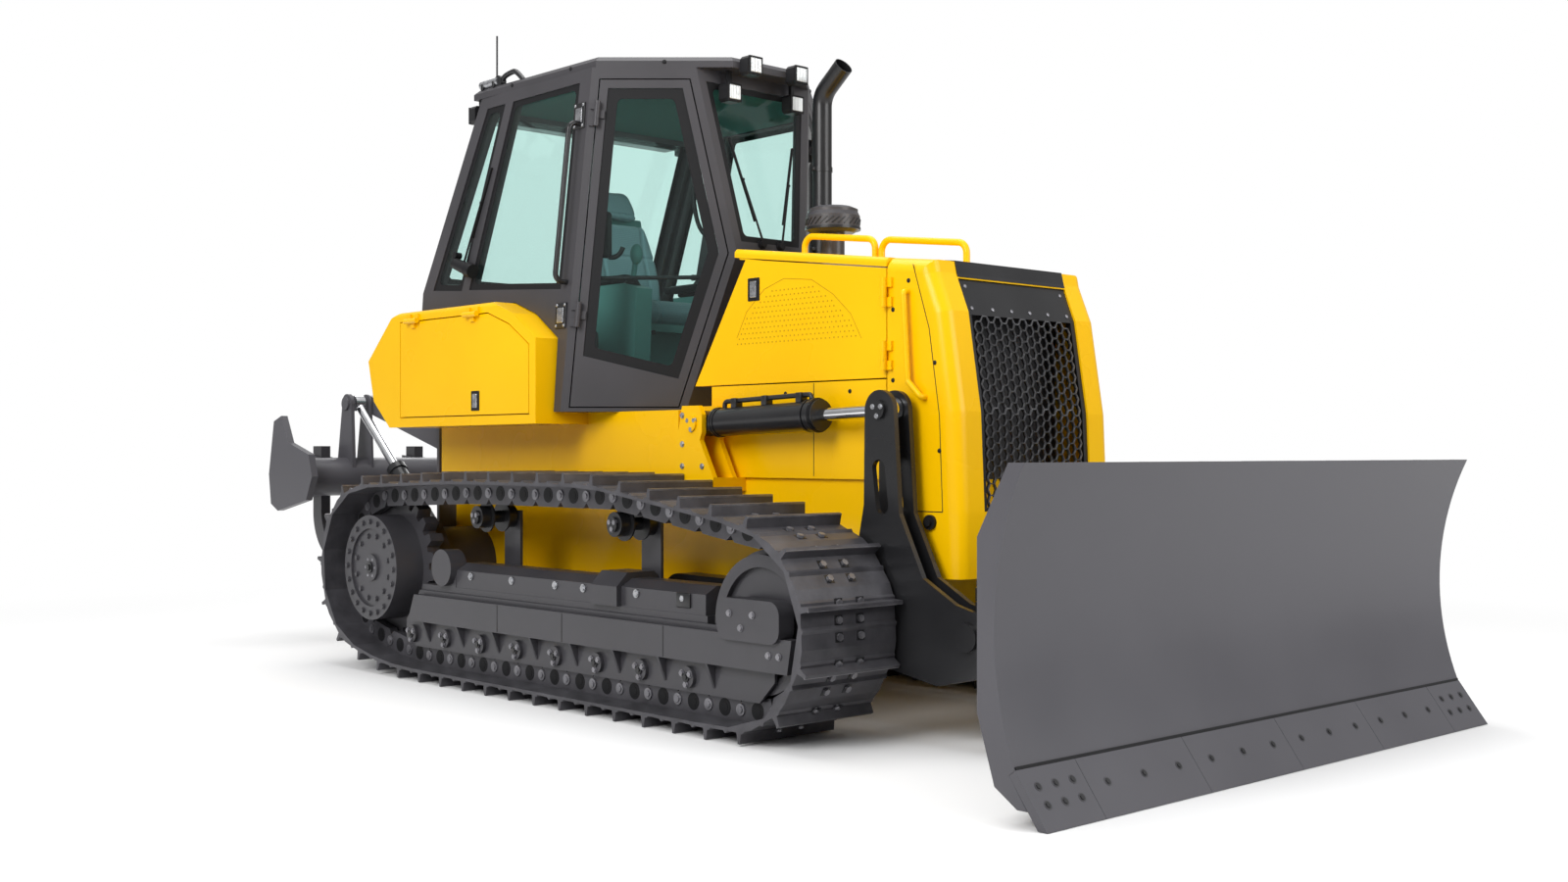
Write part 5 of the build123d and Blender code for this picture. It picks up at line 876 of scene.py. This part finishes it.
def seatPads():
    stuffing = {"voxelMm": 6.0, "pressure": 4.0, "frames": 20, "capMm": 7.0, "round": 22.0}
    plate = {"x": -830, "z": 1800, "lean": 0.222}

    def onPlate(outline):  # places that stand so far out from the seat's leaning back plate, at a height
        return [(plate["x"] - (z - plate["z"]) * plate["lean"] + out, z) for out, z in outline]

    cushion = ((-800, 1806), (-335, 1806), (-306, 1858), (-338, 1920), (-560, 1898), (-772, 1902))
    back = onPlate(((7, 1942), (84, 1942), (92, 2060), (78, 2250), (88, 2384), (7, 2384)))
    head = onPlate(((7, 2410), (78, 2410), (61.56, 2550), (40, 2570), (7, 2570)))
    pads = {"seatCushion": (cushion, 484, (1800, 1900, 0.0), ((1, -150, 16, 9), (1, 150, 16, 9), (0, -520, 14, 7))),
            "seatBack": (back, 464, (2150, 2384, 0.26), ((1, -140, 16, 9), (1, 140, 16, 9), (2, 2200, 14, 8))),
            "seatHeadrest": (head, 286, (2450, 2570, 0.3), ((2, 2440, 10, 5),))}
    for name, (outline, width, narrow, grooves) in pads.items():
        sewPad(swellPad(name, outline, width, narrow, stuffing), grooves)
    print("seat sewn")


seatPads()


# Engine enclosure and boxes: latches, screws, seams and vents

cowlFace = -500.0
seam = {"sunk": 0.2, "thick": 0.8, "wide": 4.0}


def latches():  # flush paddle latches: body, place, size and face
    places = {"engine_door": (791, 1872, 78, 104, cowlFace), "box_cover": (-801, 1400, 74, 100, -950)}
    latch = {"rimOut": 5, "rimIn": 6, "paddleOut": 9, "paddleShare": (0.28, 0.36), "bevel": 5}
    across, up = latch["paddleShare"]
    for stem, (x, z, wide, high, y) in places.items():
        for body in (stem + "_right", stem + "_left"):
            rim, paddle = bmesh.new(), bmesh.new()
            addBox(rim, (x - wide / 2, y - latch["rimOut"], z - high / 2),
                   (x + wide / 2, y + latch["rimIn"], z + high / 2), latch["bevel"])
            addBox(paddle, (x - wide * across, y - latch["paddleOut"], z - high * up),
                   (x + wide * across, y, z + high * up), latch["bevel"])
            if body.endswith("left"):
                toLeft(rim, rim.verts)
                toLeft(paddle, paddle.verts)
            keepMesh(rim, body + "_latch", "blackRubber", body)
            keepMesh(paddle, body + "_paddle", "zincSteel", body)


def addSeam(bm, points, wide):  # dark strip on the enclosure's right face: a joint line, and on the engine doors the painted shade along the pressed arc
    y = cowlFace + seam["sunk"]
    for (x0, z0), (x1, z1) in zip(points, points[1:]):
        along = Vector((x1 - x0, 0, z1 - z0)).normalized()
        across = Vector((along.z, 0, -along.x)) * wide / 2
        a, b = Vector((x0, y, z0)), Vector((x1, y, z1))
        addPrism(bm, [a - across, b - across, b + across, a + across], (0, -seam["thick"], 0))


def cowlTrim():
    cowl = {"seams": (((1762, 1905), (1850, 1640), (1905, 1290), (1922, 905)), ((1622, 905), (1922, 905)),
                      ((1180, 1040), (1180, 1440))),
            "screws": ((1650, 1727), (1650, 1438), (1880, 1501), (1905, 1149), (1737, 1840), (1650, 1120),
                       (1000, 1400), (1400, 1400), (1560, 1120)), "bumpers": ((1860, 863), (1844, 725))}
    bm = bmesh.new()
    for points in cowl["seams"]:
        addSeam(bm, points, seam["wide"])
    addMirror(bm)
    keepMesh(bm, "cowlSeams", "blackRubber")
    setOnPoints("cowlScrews", "screw", bothSides(sideSpots(cowl["screws"], cowlFace)), {"Radius": 10},
                "blackRubber")
    setOnPoints("cowlBumpers", "boss", bothSides(sideSpots(cowl["bumpers"], cowlFace)),
                {"Radius": 30, "Height": 30}, "blackRubber")


def ventArc():  # fan of small punched holes in each engine door, under a pressed arc: holes and arc drawn in darker yellow as painted shade
    vent = {"arc": ((676, 1660), (743, 1775), (862, 1868), (991, 1906), (1166, 1888), (1299, 1816), (1405, 1726),
                    (1468, 1620)), "start": 680, "step": 26.0, "rows": 12, "columns": 32, "inset": 26.0, "base": 1620.0,
            "rim": 3.0, "hole": {"Length": 7, "Width": 7, "Height": 1.0}}

    def within(x, z):
        for (x0, z0), (x1, z1) in zip(vent["arc"], vent["arc"][1:]):
            if x0 <= x <= x1:
                return vent["base"] < z < z0 + (z1 - z0) * (x - x0) / (x1 - x0) - vent["inset"]
        return False

    places = [(vent["start"] + vent["step"] * (column + 0.5 * (row % 2)),
               vent["base"] + vent["step"] * (row + 0.5) * math.sqrt(3) / 2)
              for row in range(vent["rows"]) for column in range(vent["columns"])]
    holes = sideSpots([place for place in places if within(*place)], cowlFace)
    for body, spots in (("engine_door_right", holes), ("engine_door_left", bothSides(holes)[len(holes):])):
        setOnPoints(body + "_vents", "pad", spots, vent["hole"], "paintedShadeEnamel", body)
        arc = bmesh.new()
        addSeam(arc, vent["arc"], vent["rim"])
        if body.endswith("left"):
            toLeft(arc, arc.verts)
        keepMesh(arc, body + "_arc", "paintedShadeEnamel", body)


latches()
cowlTrim()
ventArc()
print("enclosure trimmed")


# Cylinders, exhaust, air cleaner and roof


def cylinderTrim():
    lift = {"pin": (567, 1273), "rodPin": (1725, 1313), "y": -605, "outer": -679.0, "rodFace": -674.0,
            "bracketFace": -675, "bracket": ((500, 1310), (500, 1180), (500, 1080), (640, 1080)),
            "clamps": (230, 430, 650), "clampHigh": 80, "clamp": (34, 44, 44), "ringLong": 12,
            "rings": ((106, 68), (120, 66), (700, 71), (742, 74), (760, 66))}
    spots = ringSpots(lift["pin"], lift["outer"], 26, 3, 0.25) + sideSpots(lift["bracket"], lift["bracketFace"])
    setBolts("bracketBolts", bothSides(spots), 11, 14, 14, "zincSteel")
    eye = ringSpots(lift["rodPin"], lift["rodFace"], 25, 3, 0.25)
    setBolts("rodPinBolts", bothSides(eye), 9, 12, 11, "zincSteel", "push_frame")
    lean = math.atan2(lift["rodPin"][1] - lift["pin"][1], lift["rodPin"][0] - lift["pin"][0])
    along = Vector((math.cos(lean), 0, math.sin(lean)))
    up = Vector((-math.sin(lean), 0, math.cos(lean)))
    base = Vector((lift["pin"][0], lift["y"], lift["pin"][1]))
    bm = bmesh.new()
    for reach in lift["clamps"]:  # pipe clamps on the barrel
        addPlate(bm, base + along * reach + up * lift["clampHigh"], along, Vector((0, 1, 0)), up, lift["clamp"], 4)
    for reach, radius in lift["rings"]:
        addRod(bm, base + along * reach, base + along * (reach + lift["ringLong"]), radius, 40)
    addMirror(bm)
    keepMesh(bm, "liftClamps", "blackEnamel", "lift_barrels", 35)


def stackTrim():
    stack = {"place": (520, 185), "radius": 48, "bands": (2075, 2130, 2520), "band": (12, 3.5), "lug": (12, 22, 2, 9),
             "cleaner": (740, 45), "rings": ((2150, 60), (2196, 131)), "ringHalf": 6, "fins": 28, "finZ": 2226,
             "finReach": 128, "fin": (5, 46, 6)}
    x, y = stack["place"]
    radius, half = stack["radius"], stack["ringHalf"]
    tall, out = stack["band"]
    long, far, near, high = stack["lug"]
    bm = bmesh.new()
    for z in stack["bands"]:  # clamp bands, each with a lug
        addRod(bm, (x, y, z - tall), (x, y, z + tall), radius + out, 40)
        addBox(bm, (x - long, y - radius - far, z - high), (x + long, y - radius + near, z + high), 3)
    x, y = stack["cleaner"]
    for z, radius in stack["rings"]:
        addRod(bm, (x, y, z - half), (x, y, z + half), radius, 48)
    for i in range(stack["fins"]):  # fins round the dust bowl
        a = 2 * math.pi * i / stack["fins"]
        out = Vector((math.cos(a), math.sin(a), 0))
        addPlate(bm, Vector((x, y, stack["finZ"])) + out * stack["finReach"], out, out.orthogonal().normalized(),
                 upright.cross(out), stack["fin"], 0)
    keepMesh(bm, "stackBands", "blackEnamel", smooth=35)


def roofTrim():
    roof = {"top": 3038.0, "tube": (-1130, -965, -700), "tubeUp": 26, "tubeRadius": 24, "foot": (10, 26, -4, 30),
            "footIn": 30, "loop": ((-955, -2), (-945, 40), (-850, 58), (-805, 50), (-745, -4)), "loopRadius": 14,
            "pivot": (-963, 16, 20, 34), "screwZ": 3011, "screws": ((125, 481), (-300, 725), (-800, 734)),
            "corner": -97}
    rear, front, y = roof["tube"]
    top, up = roof["top"], roof["top"] + roof["tubeUp"]
    bm, bright = bmesh.new(), bmesh.new()
    addRod(bright, (rear, y, up), (front, y, up), roof["tubeRadius"], 28)
    long, wide, low, high = roof["foot"]
    for x in (rear + roof["footIn"], front - roof["footIn"]):
        addBox(bm, (x - long, y - wide, top + low), (x + long, y + wide, top + high), 4)
    addTube(bm, [(x, y, top + rise) for x, rise in roof["loop"]], roof["loopRadius"])
    x, half, rise, radius = roof["pivot"]
    addRod(bm, (x, y - half, top + rise), (x, y + half, top + rise), radius, 24)
    keepMesh(bright, "roofTube", "zincSteel", smooth=40)
    keepMesh(bm, "roofLoop", "blackEnamel", smooth=40)
    edge = [((x, -y, roof["screwZ"]), tuple(doorOut) if x > roof["corner"] else rightward) for x, y in roof["screws"]]
    setOnPoints("roofScrews", "screw", bothSides(edge), {"Radius": 11}, "blackRubber")


cylinderTrim()
stackTrim()
roofTrim()
print("fittings done")


# Floor, light and camera


def studio():
    settings = {"floorHalf": 60.0, "floorZ": -0.002, "floorColour": "#C9C9C9", "floorGain": 0.9, "fade": (3.7, 7.5),
                "ambient": (0.3, 0.75), "backdrop": 1.0, "aim": (0.3, 0, 1.0)}
    mesh = bpy.data.meshes.new("studioFloor")
    h = settings["floorHalf"]
    mesh.from_pydata([(-h, -h, 0), (h, -h, 0), (h, h, 0), (-h, h, 0)], [], [(0, 1, 2, 3)])
    floor = bpy.data.objects.new("studioFloor", mesh)
    bpy.context.scene.collection.objects.link(floor)
    floor.location.z = settings["floorZ"]
    material, tree, place = startMaterial("matteSweep")  # painted studio floor, white where it meets the wall
    rays = addNode(tree, "ShaderNodeLightPath").outputs
    seen = addNode(tree, "ShaderNodeMath", links={0: rays["Is Camera Ray"], 1: rays["Is Glossy Ray"]},
                   operation="MAXIMUM")
    reach = addNode(tree, "ShaderNodeVectorMath", links={0: place}, operation="LENGTH").outputs["Value"]
    away = addNode(tree, "ShaderNodeMapRange", {"From Min": settings["fade"][0], "From Max": settings["fade"][1]},
                   {"Value": reach}, interpolation_type="SMOOTHSTEP")
    matte = addNode(tree, "ShaderNodeBsdfDiffuse", {"Color": srgb(settings["floorColour"])})
    pale = addNode(tree, "ShaderNodeBsdfDiffuse", {"Color": (settings["floorGain"],) * 3 + (1.0,)})
    wall = addNode(tree, "ShaderNodeEmission", {"Strength": settings["backdrop"]})
    sweep = addNode(tree, "ShaderNodeMixShader", links={0: away, 1: pale, 2: wall})
    both = addNode(tree, "ShaderNodeMixShader", links={0: seen, 1: matte, 2: sweep})
    mesh.materials.append(endMaterial(material, tree, both))

    world = bpy.data.worlds.new("studioWorld")
    bpy.context.scene.world = world
    world.use_nodes = True
    tree = world.node_tree
    tree.nodes.clear()
    rays = addNode(tree, "ShaderNodeLightPath").outputs
    seen = addNode(tree, "ShaderNodeMath", links={0: rays["Is Camera Ray"], 1: rays["Is Transmission Ray"]},
                   operation="MAXIMUM")
    place = addNode(tree, "ShaderNodeTexCoord").outputs["Generated"]
    height = addNode(tree, "ShaderNodeSeparateXYZ", links={"Vector": place}).outputs["Z"]
    dome = addNode(tree, "ShaderNodeMapRange", {"To Min": settings["ambient"][0], "To Max": settings["ambient"][1]},
                   {"Value": height}, interpolation_type="SMOOTHSTEP")
    level = addNode(tree, "ShaderNodeMapRange", {"To Max": settings["backdrop"]}, {"Value": seen, "To Min": dome})
    sky = addNode(tree, "ShaderNodeBackground", {"Color": (1.0, 1.0, 1.0, 1.0)}, {"Strength": level})
    addNode(tree, "ShaderNodeOutputWorld", links={"Surface": sky})

    lamps = {"keyLight": ((2.5, -9.0, 6.0), 5.0, 640.0), "fillLight": ((9.0, 2.0, 4.5), 5.0, 330.0),
             "topLight": ((-0.5, 0.0, 8.5), 6.0, 300.0), "rearLight": ((-8.0, 5.0, 5.0), 4.0, 160.0)}
    for name, (spot, size, power) in lamps.items():
        light = bpy.data.lights.new(name, "AREA")
        light.size = size
        light.energy = power
        lamp = bpy.data.objects.new(name, light)
        lamp.location = spot
        lamp.rotation_euler = (Vector(settings["aim"]) - Vector(spot)).to_track_quat("-Z", "Y").to_euler()
        bpy.context.scene.collection.objects.link(lamp)
    bpy.context.scene.view_settings.view_transform = "Standard"


def photoCamera():
    view = {"place": (6.3239, -5.4057, 1.145), "heading": (-0.736, 0.677, 0.0), "lens": 37.9, "sensor": 36.0,
            "shift": 0.0069, "far": 200.0}
    camera = bpy.data.objects.new("photoCamera", bpy.data.cameras.new("photoCamera"))
    camera.data.lens = view["lens"]
    camera.data.sensor_width = view["sensor"]
    camera.data.shift_y = view["shift"]
    camera.data.clip_end = view["far"]
    camera.location = view["place"]
    camera.rotation_euler = Vector(view["heading"]).to_track_quat("-Z", "Y").to_euler()
    bpy.context.scene.collection.objects.link(camera)
    bpy.context.scene.camera = camera


studio()
photoCamera()
print("studio and camera set")
